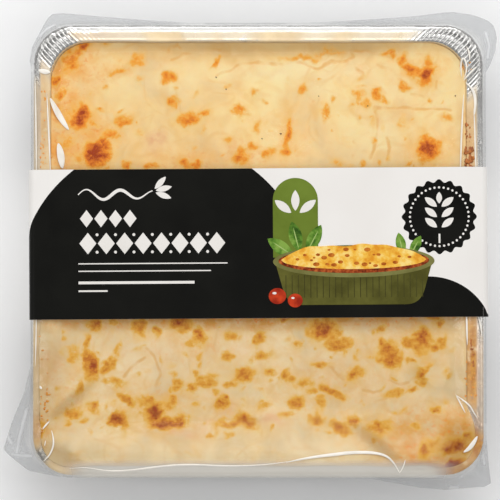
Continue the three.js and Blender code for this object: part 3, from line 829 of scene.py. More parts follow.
def sauce_colour(graph, far):
    """Cream of drifting tone, with golden patches, pale pools, tints of oil and of sauce under it, whose oil
    tints hold a band of painted shade under the sleeve's near edge, and painted shade towards the far wall.
    """
    blotch = graph.noise(24, 3, 0.55, 0.4)
    cream = graph.mix(far, graph.ramp(blotch, CREAM_NEAR), graph.ramp(blotch, CREAM_FAR))
    uneven = graph.map(graph.noise(6, 4, 0.6), 0.3, 0.68)
    patches = graph.map(graph.noise(13, 4, 0.6, 0.9), 0.48, 0.68, 0.0, 0.35)
    glow = graph.times(graph.attribute("glow"), graph.plus(uneven, 0.2), clamp=True)
    cream = graph.mix(graph.maths("MAXIMUM", glow, patches), cream, graph.mix(far, *GOLDEN))
    pale = graph.times(graph.attribute("pale"), graph.map(graph.noise(10, 3), 0.3, 0.6, 0.5, 0.9))
    cream = graph.mix(pale, cream, graph.mix(far, *PALE))
    # The oil tints include a band of painted shade along under the sleeve's near edge
    oil = graph.attribute("oil")
    oily = graph.times(oil, graph.plus(uneven, 0.45), clamp=True)
    cream = graph.mix(oily, cream, graph.mix(far, *OILY))
    beads = graph.times(graph.map(graph.noise(2.2, 4, 0.65), 0.52, 0.68), oil, clamp=True)
    cream = graph.mix(beads, cream, OIL_BEADS)
    pink = graph.times(graph.attribute("pink"), graph.map(uneven, 0.0, 1.0, 0.4, 0.95))
    cream = graph.mix(pink, cream, PINK)
    # Painted shade towards the far wall
    return graph.mix(graph.attribute("shade"), cream, PAINTED_SHADE_TONE)


def skin_lines(graph):
    """The drawn creases, and flow lines in the skin where bands of noise cross their middle value."""
    lines = graph.map(graph.attribute("crease"), 0.2, 1.35, 0.62, 0.0)
    for size, width, strength in ((22, 0.07, 0.2), (36, 0.06, 0.26)):
        band = graph.maths("ABSOLUTE", graph.maths("SUBTRACT", graph.noise(size, 1.0, 0.5, 1.0), 0.5))
        lines = graph.maths("MAXIMUM", lines, graph.map(band, 0.0, width, strength, 0.0))
    return graph.times(lines, graph.map(graph.noise(9, 3), 0.36, 0.62, 0.1, 1.0))


def brown_colour(graph, far, browned):
    """Tones of browning, with red stipple in the darkest."""
    near_stops, far_stops = (
        [(stop, srgb(*tone)) for stop, tone in zip(BROWN_STOPS, tones)] for tones in (BROWN_NEAR, BROWN_FAR)
    )
    toast = graph.mix(far, graph.ramp(browned, near_stops), graph.ramp(browned, far_stops))
    darkest = graph.map(browned, 0.72, 0.95, 0.0, 0.6)
    return graph.mix(graph.times(graph.map(graph.noise(1.1, 2), 0.56, 0.64), darkest), toast, RED_STIPPLE)


def lasagne_material():
    graph = Graph("baked_sauce")
    # far: 0 over the near half and 1 over the far half, whose warmer tones are painted light
    far = graph.map(graph.node("ShaderNodeSeparateXYZ", {0: graph.place}).outputs["Y"], -0.01, 0.01)
    lines = skin_lines(graph)
    cream = graph.mix(lines, sauce_colour(graph, far), graph.mix(far, *LINED))
    # A grain breaks up the edges of the browned spots
    grain = graph.maths("SUBTRACT", graph.noise(2.2, 6, 0.7), 0.5)
    coarse = graph.maths("SUBTRACT", graph.noise(5, 3, 0.6), 0.5)
    rough = graph.plus(grain, graph.times(coarse, 0.9))
    brown = graph.attribute("brown")
    browned = graph.plus(brown, graph.times(rough, graph.map(brown, 0.03, 0.45)), clamp=True)
    relief = graph.plus(graph.times(browned, grain), graph.times(lines, -0.08))
    relief = graph.plus(relief, graph.times(graph.noise(4, 4, 0.55), 0.3))
    shader = graph.principled(
        Base_Color=graph.mix(graph.map(browned, 0.03, 0.32), cream, brown_colour(graph, far, browned)),
        Roughness=graph.map(graph.noise(9, 2), 0.3, 0.7, 0.42, 0.6),
        Specular_IOR_Level=0.14,
        Subsurface_Weight=graph.times(graph.attribute("deep"), 0.25),
        Subsurface_Radius=(0.004, 0.002, 0.0008),
        Subsurface_Scale=0.8,
        Normal=graph.bump(relief, 0.6, 0.6),
    )
    return graph.finish(shader)


def warp(x, y, seed):
    """Places moved about a little, so that what is drawn at them gets ragged edges."""
    for amount, size in WARPS:
        seed += 2
        move_x, move_y = (amount * lattice_noise(x, y, size, seed + i) for i in (0, 1))
        x, y = x + move_x, y + move_y
    return x, y


def draw_out(x, y):
    """Moves the food's edge band out to the wall and, on the near side, on over the flange."""
    outside, normal_x, normal_y = outside_square(x, y, FOOD_HALF, WALL_CORNER_RADIUS)
    at_edge = 1 - smoothstep(0, EDGE_STRETCH, -outside)
    push = at_edge * (food_half(np.minimum(edge_level(x, y), RIM_TOP)) - FOOD_HALF + spill_width(x, y))
    return x + normal_x * push, y + normal_y * push


def food_walls(plan, rim, edge_heights):
    """Rings down the wall and in along the base, below the rim of the food's top."""
    _, normal_x, normal_y = outside_square(*plan[rim].T, FOOD_HALF, WALL_CORNER_RADIUS)
    tuck = np.minimum(edge_heights, RIM_TOP) - TUCK
    reach = food_half(tuck) - FOOD_HALF
    tucked = plan[rim] + np.column_stack([normal_x * reach, normal_y * reach])
    rings = [np.column_stack([tucked, tuck])]
    foot = FOOD_BASE + BASE_EDGE_RADIUS
    ring_level = foot + WALL_RING * (FOOD_TOP - foot)
    for level, inset in ((ring_level, 0), (foot, 0), (FOOD_BASE, BASE_EDGE_RADIUS)):
        half = food_half(max(level, foot)) - FLUTE_ROOM - inset
        rings.append(np.column_stack([plan[rim] * half / FOOD_HALF, np.full(len(rim), level)]))
    return rings


def grown(spot):
    """A spot's larger glow."""
    px, py, long, wide, turn, strength = spot
    return px, py, GLOW_SCALE * long + GLOW_MARGIN, GLOW_SCALE * wide + GLOW_MARGIN, turn, strength


def food_fields(x, y):
    """What the sauce's skin shows at each place, by the name of its attribute."""
    ragged_x, ragged_y = warp(x, y, seed=11)
    glows = [grown(spot) for spot in BROWNED_SPOTS]
    tints = {"glow": glows, "oil": OIL_TINTS_AND_SHADE_BAND, "pink": PINK_TINTS, "pale": PALE_POOLS}
    fields = {name: spot_field(ragged_x, ragged_y, spots) for name, spots in tints.items()}
    fields["brown"] = spot_field(ragged_x, ragged_y, BROWNED_SPOTS + small_spots(seed=21), SPOT_FIRMNESS)
    crease_x = (1 - CREASE_RAGGEDNESS) * x + CREASE_RAGGEDNESS * ragged_x
    crease_y = (1 - CREASE_RAGGEDNESS) * y + CREASE_RAGGEDNESS * ragged_y
    fields["crease"] = nearest_line(crease_x, crease_y, CREASES)
    # Painted shade of the sauce towards the far wall, less towards the sides
    shade = smoothstep(*FAR_SHADE, ragged_y) * (1 - smoothstep(*FAR_SHADE_SIDES, np.abs(x)))
    fields["shade"] = FAR_SHADE_STRENGTH * shade
    return fields


def food_surface(x, y, brown, crease):
    """Height of the sauce with its ripples, risen crust and creases, which fade out towards its edge."""
    reach = food_half(RIM_TOP)
    inside = 1 - smoothstep(reach - EDGE_CALM, reach, np.maximum(np.abs(x), np.abs(y)))
    ripple = RIPPLE * lattice_noise(x, y, size=6, seed=15)
    grain = CRUST_GRAIN * brown * lattice_noise(x, y, size=1.8, seed=16)
    cut = CREASE_DEPTH * np.exp(-((crease / CREASE_HALF) ** 2))
    return sauce_top(x, y) + inside * (ripple + grain) + inside * (CRUST_RISE * brown - cut)


def food_grid():
    """Faces of the grid over the food's top, and the ring of vertices round it."""
    count = FOOD_CELLS + 1
    cell = np.arange(FOOD_CELLS)
    corner = (cell[:, None] * count + cell[None, :]).ravel()
    faces = np.column_stack([corner, corner + 1, corner + 1 + count, corner + count]).tolist()
    last = FOOD_CELLS * count
    rim = np.concatenate([cell, FOOD_CELLS + cell * count, last + FOOD_CELLS - cell, last - cell * count])
    return faces, rim


def make_food():
    """The lasagne: a fine grid of baked sauce over a block that fills the tray."""
    side = np.linspace(-FOOD_HALF, FOOD_HALF, FOOD_CELLS + 1)
    u, v = np.meshgrid(side, side)
    plan = np.column_stack(square_to_rounded(u.ravel(), v.ravel(), FOOD_HALF, WALL_CORNER_RADIUS))
    x, y = draw_out(*plan.T)
    fields = food_fields(x, y)
    z = food_surface(x, y, fields["brown"], fields["crease"])
    faces, rim = food_grid()
    top_count = len(faces)
    past_wall, _, _ = outside_square(x[rim], y[rim], WALL_TOP_HALF, WALL_CORNER_RADIUS)
    z[rim] = np.where(past_wall > 0, flange_height(x[rim], y[rim]) - TUCK, z[rim])
    walls = food_walls(plan, rim, z[rim])
    rings = [rim] + [len(x) + i * len(rim) + np.arange(len(rim)) for i in range(len(walls))]
    for high, low in zip(rings, rings[1:]):
        faces += join_rings(high, low)
    faces.append(rings[-1][::-1].tolist())
    verts = np.vstack([np.column_stack([x, y, z]), *walls])
    piece = make_piece("lasagne_block", verts, faces, lasagne_material(), "lasagne")
    piece.data.polygons.foreach_set("use_smooth", np.arange(len(faces)) < top_count)
    outside, _, _ = outside_square(*plan.T, FOOD_HALF, WALL_CORNER_RADIUS)
    fields["deep"] = smoothstep(0, EDGE_STRETCH, -outside)
    for name, values in fields.items():
        wall_value = FOOD_HALF if name == "crease" else 0
        give_attribute(piece, name, np.append(values, np.full(len(verts) - len(x), wall_value)))


# The tray


def foil_material():
    graph = Graph("pressed_foil")
    dents = graph.noise(5, 4, 0.6)
    fine = graph.noise(0.9, 2, 0.5)
    sauce = graph.times(graph.attribute("sauce"), graph.map(graph.noise(9, 3), 0.2, 0.36, 0.35, 1.0))
    cream = graph.ramp(graph.noise(11, 3, 0.6), [(0.35, srgb(230, 202, 156)), (0.65, srgb(250, 225, 180))])
    orange = graph.ramp(graph.noise(3, 4, 0.65), [(0.35, srgb(192, 118, 30)), (0.65, srgb(222, 162, 70))])
    stained = graph.times(graph.attribute("orange"), graph.map(graph.noise(5, 4, 0.6), 0.2, 0.45))
    shader = graph.principled(
        Base_Color=graph.mix(sauce, srgb(188, 187, 185), graph.mix(stained, cream, orange)),
        Metallic=graph.map(sauce, 0.0, 0.9, 1.0, 0.0),
        Roughness=graph.map(dents, 0.3, 0.7, 0.16, 0.28),
        Normal=graph.bump(graph.plus(dents, graph.times(fine, 0.25)), 0.22, 0.35),
    )
    return graph.finish(shader)


def tray_stations():
    near = np.arange(0, FLUTE_RUN, FLUTE_PITCH / FLUTE_SAMPLES) / WALL_STRAIGHT
    far = np.linspace(FLUTE_RUN / WALL_STRAIGHT, 1 - FLUTE_RUN / WALL_STRAIGHT, STRAIGHT_SAMPLES)
    return make_stations(FLUTES_PER_CORNER * FLUTE_SAMPLES, np.concatenate([near, far, 1 - near[:0:-1]]))


def corner_share(stations):
    """1 round each corner, fading to 0 along the straight sides."""
    _, arc, run = stations
    from_corner = np.minimum(run, 1 - run) * WALL_STRAIGHT
    return np.where(arc < 1, 1, np.clip(1 - from_corner / FLUTE_RUN, 0, 1))


def flutes(stations, share):
    """Push of the pressed flutes round each corner."""
    _, arc, run = stations
    turns = np.where(arc < 1, arc * FLUTES_PER_CORNER, np.minimum(run, 1 - run) * WALL_STRAIGHT / FLUTE_PITCH)
    return np.cos(2 * math.pi * turns) * FLUTE_DEPTH / 2 * share * corner_share(stations)


def flange_sauce(x, y):
    """Share of the flange that thin sauce covers: its straight runs, not the far corners or the near side."""
    on_side = np.minimum(np.abs(x), np.abs(y))
    bare = np.where(x < 0, smoothstep(*BARE_CORNERS[-1], on_side), smoothstep(*BARE_CORNERS[1], on_side))
    return np.clip(1 - bare * smoothstep(-5, 5, y), 0, 1) * (1 - spilled(x, y))


def far_streaks(x, y):
    """Streaks of bare foil in the thin sauce along the far flange."""
    streaks = smoothstep(-0.5, 0.4, lattice_noise(x, 0 * y, size=FAR_STREAK, seed=18))
    return FAR_BARE * streaks * smoothstep(*FAR_FLANGE, y)


def rim_stain(x, y):
    """How far sauce stains the rim: round the near corners, but for a bare patch, and less up the sides."""
    corner = spilled(x, y) * corner_nearness(x, y)
    weaker = LEFT_WEAKER * smoothstep(*LEFT_WEAKENS, y)
    left_fade = 1 - weaker - (1 - LEFT_WEAKER) * smoothstep(*LEFT_ENDS, y)
    left = LEFT_STAIN * smoothstep(*CORNER_START, -x) * left_fade
    right = RIGHT_STAIN * smoothstep(*CORNER_START, x) * (1 - smoothstep(*RIGHT_ENDS, y))
    bare = np.minimum(1, PATCH_STRENGTH * spot_field(x, y, [BARE_PATCH]))
    return np.maximum(corner, np.maximum(left, right)) * (1 - bare)


class TrayLoops:
    """Collects the loops of the tray's skin, and how far sauce covers each."""

    def __init__(self):
        self.stations = tray_stations()
        self.at_corner = corner_share(self.stations)
        point, _ = plan_loop(self.stations, TRAY_HALF, RIM_CORNER_RADIUS)
        self.along = run_length(point.T)
        self.filled = flange_sauce(*(point * FLANGE_MIDDLE))
        self.covered = self.filled * (1 - far_streaks(*point))
        self.dry = 1 - spilled(*point)
        self.stained = rim_stain(*point)
        self.loops = []
        self.covers = []

    def add(self, half, radius, z, flute=0.0, pleat=0.0, crumple=0.0, sauce=0.0, bead=0.0, stain=0.0):
        """A loop with flutes, pleats or a crumple in it. A stain of 2 is sauce all round."""
        dent = np.abs(lattice_noise(self.along + 40 * z, 7 * half + 0 * self.along, size=1.7, seed=31))
        crush = np.abs(lattice_noise(self.along - 30 * z, 5 * half + 0 * self.along, size=2.3, seed=32))
        crumple = crumple * (1 - STAIN_CALM * self.stained)
        dented = crumple * dent * (DENT_DEPTH[0] + DENT_DEPTH[1] * self.at_corner)
        push = flutes(self.stations, flute) - dented
        loop = raise_loop(self.stations, half, radius, z, push)
        pleats = flutes(self.stations, pleat) - FLUTE_DEPTH / 2 * pleat * self.at_corner
        crushed = crumple * crush * (CRUSH_DEPTH[0] + CRUSH_DEPTH[1] * self.at_corner)
        loop[:, 2] += (pleats * (1 - SAUCE_CALM * self.filled) + bead) * self.dry - crushed
        loop[:, 2] += SAUCE_RISE * sauce * self.filled
        self.loops.append(loop)
        self.covers.append(np.maximum(sauce * self.covered, stain * np.maximum(self.stained, stain - 1)))

    def wall(self, share, inward, stain=0.0):
        """A loop of the wall at a share of its height, with flutes that fade out under the flange."""
        z = TRAY_BASE + BASE_EDGE_RADIUS + share * (TRAY_HEIGHT - BASE_EDGE_RADIUS - FOIL)
        half = BASE_HALF + (WALL_TOP_HALF - BASE_HALF) * share - inward
        radius = BASE_CORNER_RADIUS + (WALL_CORNER_RADIUS - BASE_CORNER_RADIUS) * share
        depth = FLUTE_FOOT + (1 - FLUTE_FOOT) * share
        flute = depth * (1 - FLUTE_FADED * float(smoothstep(*FLUTE_FADE, share)))
        self.add(half, radius, z, flute, stain=stain)


def tray_outside(tray):
    """The base with its rib, its edge, and the wall."""
    inner = BASE_HALF - BASE_EDGE_RADIUS
    for share in BASE_LOOPS:
        tray.add(inner * share, BASE_CORNER_RADIUS * share, TRAY_BASE + RIB_RISE * (share == BASE_RIB))
    tray.add(inner, BASE_CORNER_RADIUS, TRAY_BASE)
    tray.add(BASE_HALF - 0.3 * BASE_EDGE_RADIUS, BASE_CORNER_RADIUS, TRAY_BASE + 0.3 * BASE_EDGE_RADIUS)
    for share in np.linspace(0, 1, 9):
        tray.wall(share, 0)


def tray_rim(tray):
    """The flange's underside, the curl round its edge, and its leaning top with a bead along the inside."""
    tray.add(CURL_HALF - CURL_RADIUS, RIM_CORNER_RADIUS - 2 * CURL_RADIUS, RIM_TOP - FLANGE_DROOP - FOIL)
    for turn in np.radians(np.arange(225, 451, 25)):
        half = CURL_HALF + CURL_RADIUS * math.cos(turn)
        z = CURL_HEIGHT + CURL_RADIUS * math.sin(turn)
        tray.add(half, RIM_CORNER_RADIUS - (TRAY_HALF - half), z, crumple=1.0, stain=1.0)
    widening = WALL_CORNER_RADIUS - RIM_CORNER_RADIUS + CURL_RADIUS
    for share in np.linspace(0.12, 1, 12):
        half = CURL_HALF + (WALL_TOP_HALF - CURL_HALF) * share
        radius = RIM_CORNER_RADIUS - CURL_RADIUS + widening * share
        z = RIM_TOP - FLANGE_DROOP * (1 - share)
        bead = BEAD_RISE * math.exp(-(((share - BEAD_PLACE) / BEAD_WIDTH) ** 2))
        crumple = float(1 - smoothstep(0.1, 0.4, share))
        pleat = 0.9 * float(smoothstep(0.0, 0.25, share))
        tray.add(half, radius, z, pleat=pleat, crumple=crumple, sauce=1 - crumple, bead=bead, stain=1.0)


def make_tray():
    """The foil tray: ribbed base, drafted wall, fluted corners, leaning flange, curled rim and inside."""
    tray = TrayLoops()
    tray_outside(tray)
    tray_rim(tray)
    for share in (0.98, 0.93, 0.86, 0.7, 0.4, 0):
        tray.wall(share, FOIL, stain=2.0)
    tray.add(BASE_HALF - BASE_EDGE_RADIUS, BASE_CORNER_RADIUS, TRAY_BASE + FOIL)
    verts, faces = skin_loops(tray.loops)
    piece = make_piece("tray_of_foil", verts, faces, foil_material(), "foil_tray")
    give_attribute(piece, "sauce", np.append(np.concatenate(tray.covers), [0, 0]))
    give_attribute(piece, "orange", spot_field(verts[:, 0], verts[:, 1], ORANGE_FLANGE))


# The film


def film_material():
    graph = Graph("clear_film")
    ply = graph.attribute("ply")
    mist = graph.attribute("mist")
    normal = graph.bump(graph.noise(7, 3, 0.55, 0.5), 0.5, 0.35)
    facing = graph.node("ShaderNodeLayerWeight", {"Blend": 0.5, "Normal": normal}).outputs["Facing"]
    tint = graph.mix(ply, (0.99, 0.99, 0.985, 1), (0.84, 0.845, 0.85, 1))
    # Painted shade: a warm dark tint of the film where the fold attribute is set
    tint = graph.mix(graph.attribute("fold"), tint, (0.80, 0.77, 0.71, 1))
    tint = graph.mix(graph.maths("POWER", facing, 3.0), tint, (0.6, 0.605, 0.61, 1))
    milky = graph.mix(mist, (0.88, 0.885, 0.89, 1), (0.84, 0.79, 0.70, 1))
    haze = graph.node("ShaderNodeBsdfDiffuse", {"Color": milky}).outputs["BSDF"]
    # White creases run through the doubled film of the ears, as white haze that is partly painted highlight
    crease_white_and_glint = graph.map(graph.attribute("crease"), 0.0, 1.0, 0.2, 0.6)
    hazed = graph.plus(graph.times(ply, crease_white_and_glint), graph.times(mist, 0.55))
    body = graph.blend(hazed, graph.transparent(tint), haze)
    # Both faces of the film reflect alike: little straight on, much at a glance
    gloss = graph.node("ShaderNodeBsdfGlossy", {"Color": (1, 1, 1, 1), "Roughness": 0.08, "Normal": normal})
    mirror = graph.plus(graph.times(graph.maths("POWER", facing, 5.0), 0.7), FILM_REFLECTION)
    return graph.finish(graph.blend(mirror, body, gloss.outputs["BSDF"]))


def ear_reach(stations, half, radius):
    """How far the film's ears reach beyond the rim at each station, as on the solid bag."""
    corners = np.array([vertex.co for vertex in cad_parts["film_bag"].data.vertices]) / MM
    distance, normal_x, normal_y = outside_square(corners[:, 0], corners[:, 1], half, radius)
    near_x, near_y = corners[:, 0] - normal_x * distance, corners[:, 1] - normal_y * distance
    beside = distance > -BESIDE_RIM
    angle = np.round(np.degrees(np.arctan2(near_y[beside], near_x[beside])), 2)
    places = np.unique(angle)
    reach = np.array([distance[beside][angle == place].max() for place in places])
    reach = np.where(reach < EAR_LEAST, 0, reach)
    point, _ = plan_loop(stations, half, radius)
    return np.interp(np.degrees(np.arctan2(point[1], point[0])), places, reach, period=360)


def film_height(x, y):
    """Height of the film inside the curl: over the flange, down to the food, and on along it."""
    distance, _, _ = outside_square(x, y, FILM_SIDE_HALF, FILM_SIDE_RADIUS)
    inset = -distance - FILM_SIDE_OFFSET
    flange = flange_height(x, y) + FILM_OFFSET
    food = sauce_top(x, y) + FILM_OVER_FOOD
    fall = smoothstep(0, 1, (inset - FLANGE_WIDTH) / FILM_DIP_REACH)
    slack = FILM_SLACK * lattice_noise(x, y, size=7, seed=44) * (1 - 0.5 * fall)
    return np.maximum(flange + (food - flange) * fall, food) + np.maximum(slack, LEAST_SLACK)


class FilmLoops:
    """Collects the loops of the bag's skin, and how far each is two plies."""

    def __init__(self):
        self.stations = make_stations(FILM_ARC_STEPS, np.linspace(0, 1, FILM_SIDE_STEPS + 1)[:-1])
        reach = ear_reach(self.stations, TRAY_HALF + SOLID_FILM_OFFSET, RIM_CORNER_RADIUS + SOLID_FILM_OFFSET)
        self.reach = np.maximum(reach - FILM_SIDE_OFFSET + SOLID_FILM_OFFSET, 0)
        self.has_ear = smoothstep(0, EAR_START, self.reach)
        point, self.normal = plan_loop(self.stations, FILM_SIDE_HALF, FILM_SIDE_RADIUS)
        self.along = run_length(point.T)
        # The film is loose but for where the sleeve holds it
        from_sleeve = np.abs(point[1] - SLEEVE_OFFSET) - SLEEVE_WIDTH / 2
        self.loose = 1 - smoothstep(8, 1, from_sleeve) * (np.abs(point[0]) > WALL_TOP_HALF)
        self.loops = []
        self.plies = []

    def add(self, loop, ply=0.0):
        self.loops.append(loop)
        self.plies.append(np.broadcast_to(ply, (len(loop),)))

    def level(self, half, radius, z):
        self.add(raise_loop(self.stations, half, radius, z))

    def at_side(self, z, push=0.0):
        return raise_loop(self.stations, FILM_SIDE_HALF, FILM_SIDE_RADIUS, z, push)

    def ripple(self, slide, lift, size, seed):
        """Noise along the film. Loops that slide and lift differently get other noise."""
        return lattice_noise(self.along + slide, lift + 0 * self.along, size, seed)


def ear_lines(film):
    """Where each ear leaves the side, and its lower and upper edge."""
    droop = RIM_TOP - FLANGE_DROOP - 2 * CURL_RADIUS - EAR_DROOP * film.reach
    tip = droop + EAR_CRIMP * film.ripple(0, 0, size=9, seed=41) * film.has_ear
    root = film.at_side(droop - 2 * EAR_EDGE * film.has_ear, (1 - EAR_FLAT_SHARE) * film.reach)
    return root, film.at_side(tip - EAR_EDGE * film.has_ear, film.reach), film.at_side(tip, film.reach)


def film_underside(film):
    """The flat underside and its edge."""
    for share in (0.35, 0.7, 1):
        film.level((BASE_HALF - BASE_EDGE_RADIUS) * share, BASE_CORNER_RADIUS * share, FILM_BASE)
    film.level(BASE_HALF - 0.4 * BASE_EDGE_RADIUS, BASE_CORNER_RADIUS, FILM_BASE + 0.35)


def film_sides(film):
    """Loose folds up the sides, and the two plies of the ears."""
    foot_height = TRAY_BASE + BASE_EDGE_RADIUS - FILM_OFFSET
    foot = raise_loop(film.stations, BASE_HALF + FILM_OFFSET, BASE_CORNER_RADIUS, foot_height)
    root, tip_low, tip_high = ear_lines(film)
    for share in np.linspace(0, 1, 15):
        loop = foot + (root - foot) * share
        fold = film.ripple(12 * share, 25 * share, size=8, seed=42)
        loop[:, :2] += (SIDE_FOLD * math.sin(math.pi * share) * fold * film.loose * film.normal).T
        film.add(loop, film.has_ear * smoothstep(0.8, 1, share))
    for share in (0.35, 0.7):
        film.add(root + (tip_low - root) * share, film.has_ear)
    film.add(tip_low, film.has_ear)
    curl_side = film.at_side(CURL_HEIGHT)
    for share in np.linspace(0, 0.95, 20):
        loop = tip_high + (curl_side - tip_high) * share
        crimp = film.ripple(9 * share, 14 * share, size=4, seed=43)
        loop[:, 2] += EAR_CRIMP * crimp * film.has_ear * math.sin(math.pi * min(1, share + 0.2))
        film.add(loop, film.has_ear * (1 - smoothstep(0.8, 1.0, share)))


def film_over(film):
    """Round the curl, over the flange, down to the food, and on along it."""
    for turn in np.radians(np.linspace(0, 90, 7)):
        inset = FILM_CURL * (1 - math.cos(turn))
        film.level(FILM_SIDE_HALF - inset, FILM_SIDE_RADIUS - inset, CURL_HEIGHT + FILM_CURL * math.sin(turn))
    fine = np.arange(FILM_CURL + 0.8, FINE_END, FILM_FINE)
    for inset in np.concatenate([fine, np.arange(FINE_END, FILM_END, FILM_COARSE)]):
        half = FILM_SIDE_HALF - inset
        loop = raise_loop(film.stations, half, min(FILM_SIDE_RADIUS, half * 0.98), 0.0)
        loop[:, 2] = film_height(loop[:, 0], loop[:, 1])
        film.add(loop)


def make_film():
    """The bag: one closed skin round tray and food, with a flat ear of two plies at each corner."""
    film = FilmLoops()
    film_underside(film)
    film_sides(film)
    film_over(film)
    verts, faces = skin_loops(film.loops)
    piece = make_piece("bag_of_film", verts, faces, film_material(), "film_bag")
    x, y, z = verts.T
    on_top = z > CURL_HEIGHT
    give_attribute(piece, "ply", np.append(np.concatenate(film.plies), [0, 0]))
    # fold: patches of painted shade, tinting the film over what is under it
    give_attribute(piece, "fold", on_top * spot_field(x, y, FILM_SHADE_TINTS, SHADE_TINT_FIRMNESS))
    # crease: white creases of the ears, partly painted highlight
    give_attribute(piece, "crease", np.exp(-((nearest_line(x, y, EAR_CREASES_AND_GLINTS) / EAR_CREASE_WIDTH) ** 2)))
    misted = on_top * smoothstep(*NEAR_MIST, -y)
    give_attribute(piece, "mist", misted * (1 - smoothstep(*MIST_SIDES, np.abs(x))))
    merge_doubles(piece, FILM_WELD)


def make_back_seam():
    """The overlap of the film's edges along the underside, as two crimped runs beside the sleeve."""
    along = np.linspace(SLEEVE_WIDTH / 2 + SEAM_START, SEAM_END, SEAM_STEPS)
    crimp = SEAM_DEPTH * (0.7 + 0.3 * np.cos(2 * math.pi * along / SEAM_CRIMP))
    verts = []
    faces = []
    for side in (1, -1):
        tube = tube_faces(4 * len(verts), SEAM_STEPS, 4)
        faces += [face[::side] for face in tube]
        for y, depth in zip(side * along + SLEEVE_OFFSET, crimp):
            corners = ((-1, 0), (-1, depth), (1, depth), (1, 0))
            verts.append([(across * SEAM_HALF, y, FILM_BASE - down) for across, down in corners])
    piece = make_piece("film_back_seam", np.vstack(verts), faces, film_material(), smooth=False)
    give_attribute(piece, "ply", np.ones(len(verts) * 4))


def smooth_line(points, spacing):
    """A curve through points, at an even spacing."""
    points = np.asarray(points, float)
    for _ in range(3):
        middle = np.empty((2 * len(points) - 2, 2))
        middle[0::2] = 0.75 * points[:-1] + 0.25 * points[1:]
        middle[1::2] = 0.25 * points[:-1] + 0.75 * points[1:]
        points = np.vstack([points[:1], middle, points[-1:]])
    length = run_length(points)
    even = np.linspace(0, length[-1], max(8, int(length[-1] / spacing)))
    return np.column_stack([np.interp(even, length, points[:, i]) for i in (0, 1)])


def pinch_painted_highlight_material():
    graph = Graph("pinched_film_painted_highlight")
    # Near-white and mostly opaque: painted highlight on the ridges
    painted_highlight_white = graph.principled(Base_Color=(0.97, 0.92, 0.83, 1), Roughness=0.3, Specular_IOR_Level=0.5)
    share = graph.map(graph.noise(6, 2), 0.3, 0.6, 0.9, 1.0)
    return graph.finish(graph.blend(share, graph.transparent((1, 1, 1, 1)), painted_highlight_white))


def make_pinches_with_painted_highlights():
    """Creases where the film is pinched up in a narrow ridge, tapered at both ends, as one piece. Their
    near-white colour is partly painted highlight.
    """
    sides = len(PINCH_SECTION)
    across, rise = PINCH_SECTION.T
    verts = []
    faces = []
    for width, points in PINCHES_AND_PAINTED_HIGHLIGHTS:
        line = smooth_line(from_photo(points), PINCH_STEP)
        faces += tube_faces(sides * len(verts), len(line), sides)
        wide = width * np.sin(math.pi * np.linspace(0.02, 0.98, len(line))) ** 0.6
        high = np.minimum(0.3 * wide, PINCH_HEIGHT)
        for place, side, w, h in zip(line, line_normals(line), wide, high):
            plan = place + across[:, None] * w * side
            verts.append(np.column_stack([plan, film_height(*plan.T) - PINCH_SINK + rise * h]))
    make_piece("film_pinches_painted_highlights", np.vstack(verts), faces, pinch_painted_highlight_material(), smooth=False)


def merge_doubles(piece, distance):
    """Closes up coincident vertices, as where a film ear has no reach."""
    mesh = bmesh.new()
    mesh.from_mesh(piece.data)
    bmesh.ops.remove_doubles(mesh, verts=mesh.verts, dist=distance * MM)
    bmesh.ops.dissolve_degenerate(mesh, edges=mesh.edges, dist=distance * MM / 4)
    mesh.to_mesh(piece.data)
    mesh.free()


# The sleeve


def bezier(start, control, end, steps):
    share = np.linspace(0, 1, steps)[:, None]
    start, control, end = (np.array(p, float) for p in (start, control, end))
    return (1 - share) ** 2 * start + 2 * share * (1 - share) * control + share**2 * end


def sleeve_section(grow):
    """Right half of the sleeve's section from the middle of its base to the middle of its top, as x and z."""
    low_x = BASE_HALF + FILM_TO_SLEEVE + grow
    low_z = BOARD - grow
    high_z = SLEEVE_TOP - BOARD + grow
    shoulder = CURL_RADIUS + FILM_TO_SLEEVE + grow
    base = np.column_stack([np.linspace(0, low_x - SLEEVE_BEND, 24), np.full(24, low_z)])
    bend_end = (low_x + SLEEVE_BEND / 2, low_z + SLEEVE_BEND)
    bend = bezier((low_x - SLEEVE_BEND, low_z), (low_x, low_z), bend_end, 9)
    side_end = np.array([CURL_HALF + shoulder, CURL_HEIGHT - CURL_RADIUS])
    side = bend[-1] + (side_end - bend[-1]) * np.linspace(0, 1, 18)[1:, None]
    turn = np.linspace(0, SHOULDER_TURN, 14)
    arc = np.column_stack([CURL_HALF + shoulder * np.cos(turn), CURL_HEIGHT + shoulder * np.sin(turn)])
    flat = arc[-1] + (np.array([WALL_TOP_HALF, high_z]) - arc[-1]) * np.linspace(0, 1, 6)[1:, None]
    sag = bezier(flat[-1], (WALL_TOP_HALF / 2, high_z - SLEEVE_SAG), (0, high_z - SLEEVE_SAG), 60)
    return np.vstack([base, bend[1:], side, arc, flat, sag[1:]])


def whole_section(grow):
    """The closed section, starting at the middle of the base and going round by the right side."""
    right = sleeve_section(grow)
    left = right[-2:0:-1] * (-1, 1)
    return np.vstack([right, left])


def turn_sleeve(x, v, z):
    """Places on the pack of points given across and along the sleeve."""
    cos, sin = math.cos(SLEEVE_TURN), math.sin(SLEEVE_TURN)
    return np.column_stack([x * cos - v * sin, x * sin + v * cos + SLEEVE_OFFSET, z])


def board_wave(x, v, z):
    """Slight unevenness of the board's top, which fades out over its shoulders."""
    edge = (np.abs(v) / (SLEEVE_WIDTH / 2)) ** 8
    place = (x + WAVE_START, v + WAVE_START)
    broad = BOARD_WAVE * lattice_noise(*place, size=24, seed=51)
    wave = broad + EDGE_WAVE * edge * lattice_noise(*place, size=30, seed=52)
    return wave * smoothstep(RIM_TOP - 1, SLEEVE_TOP, z)


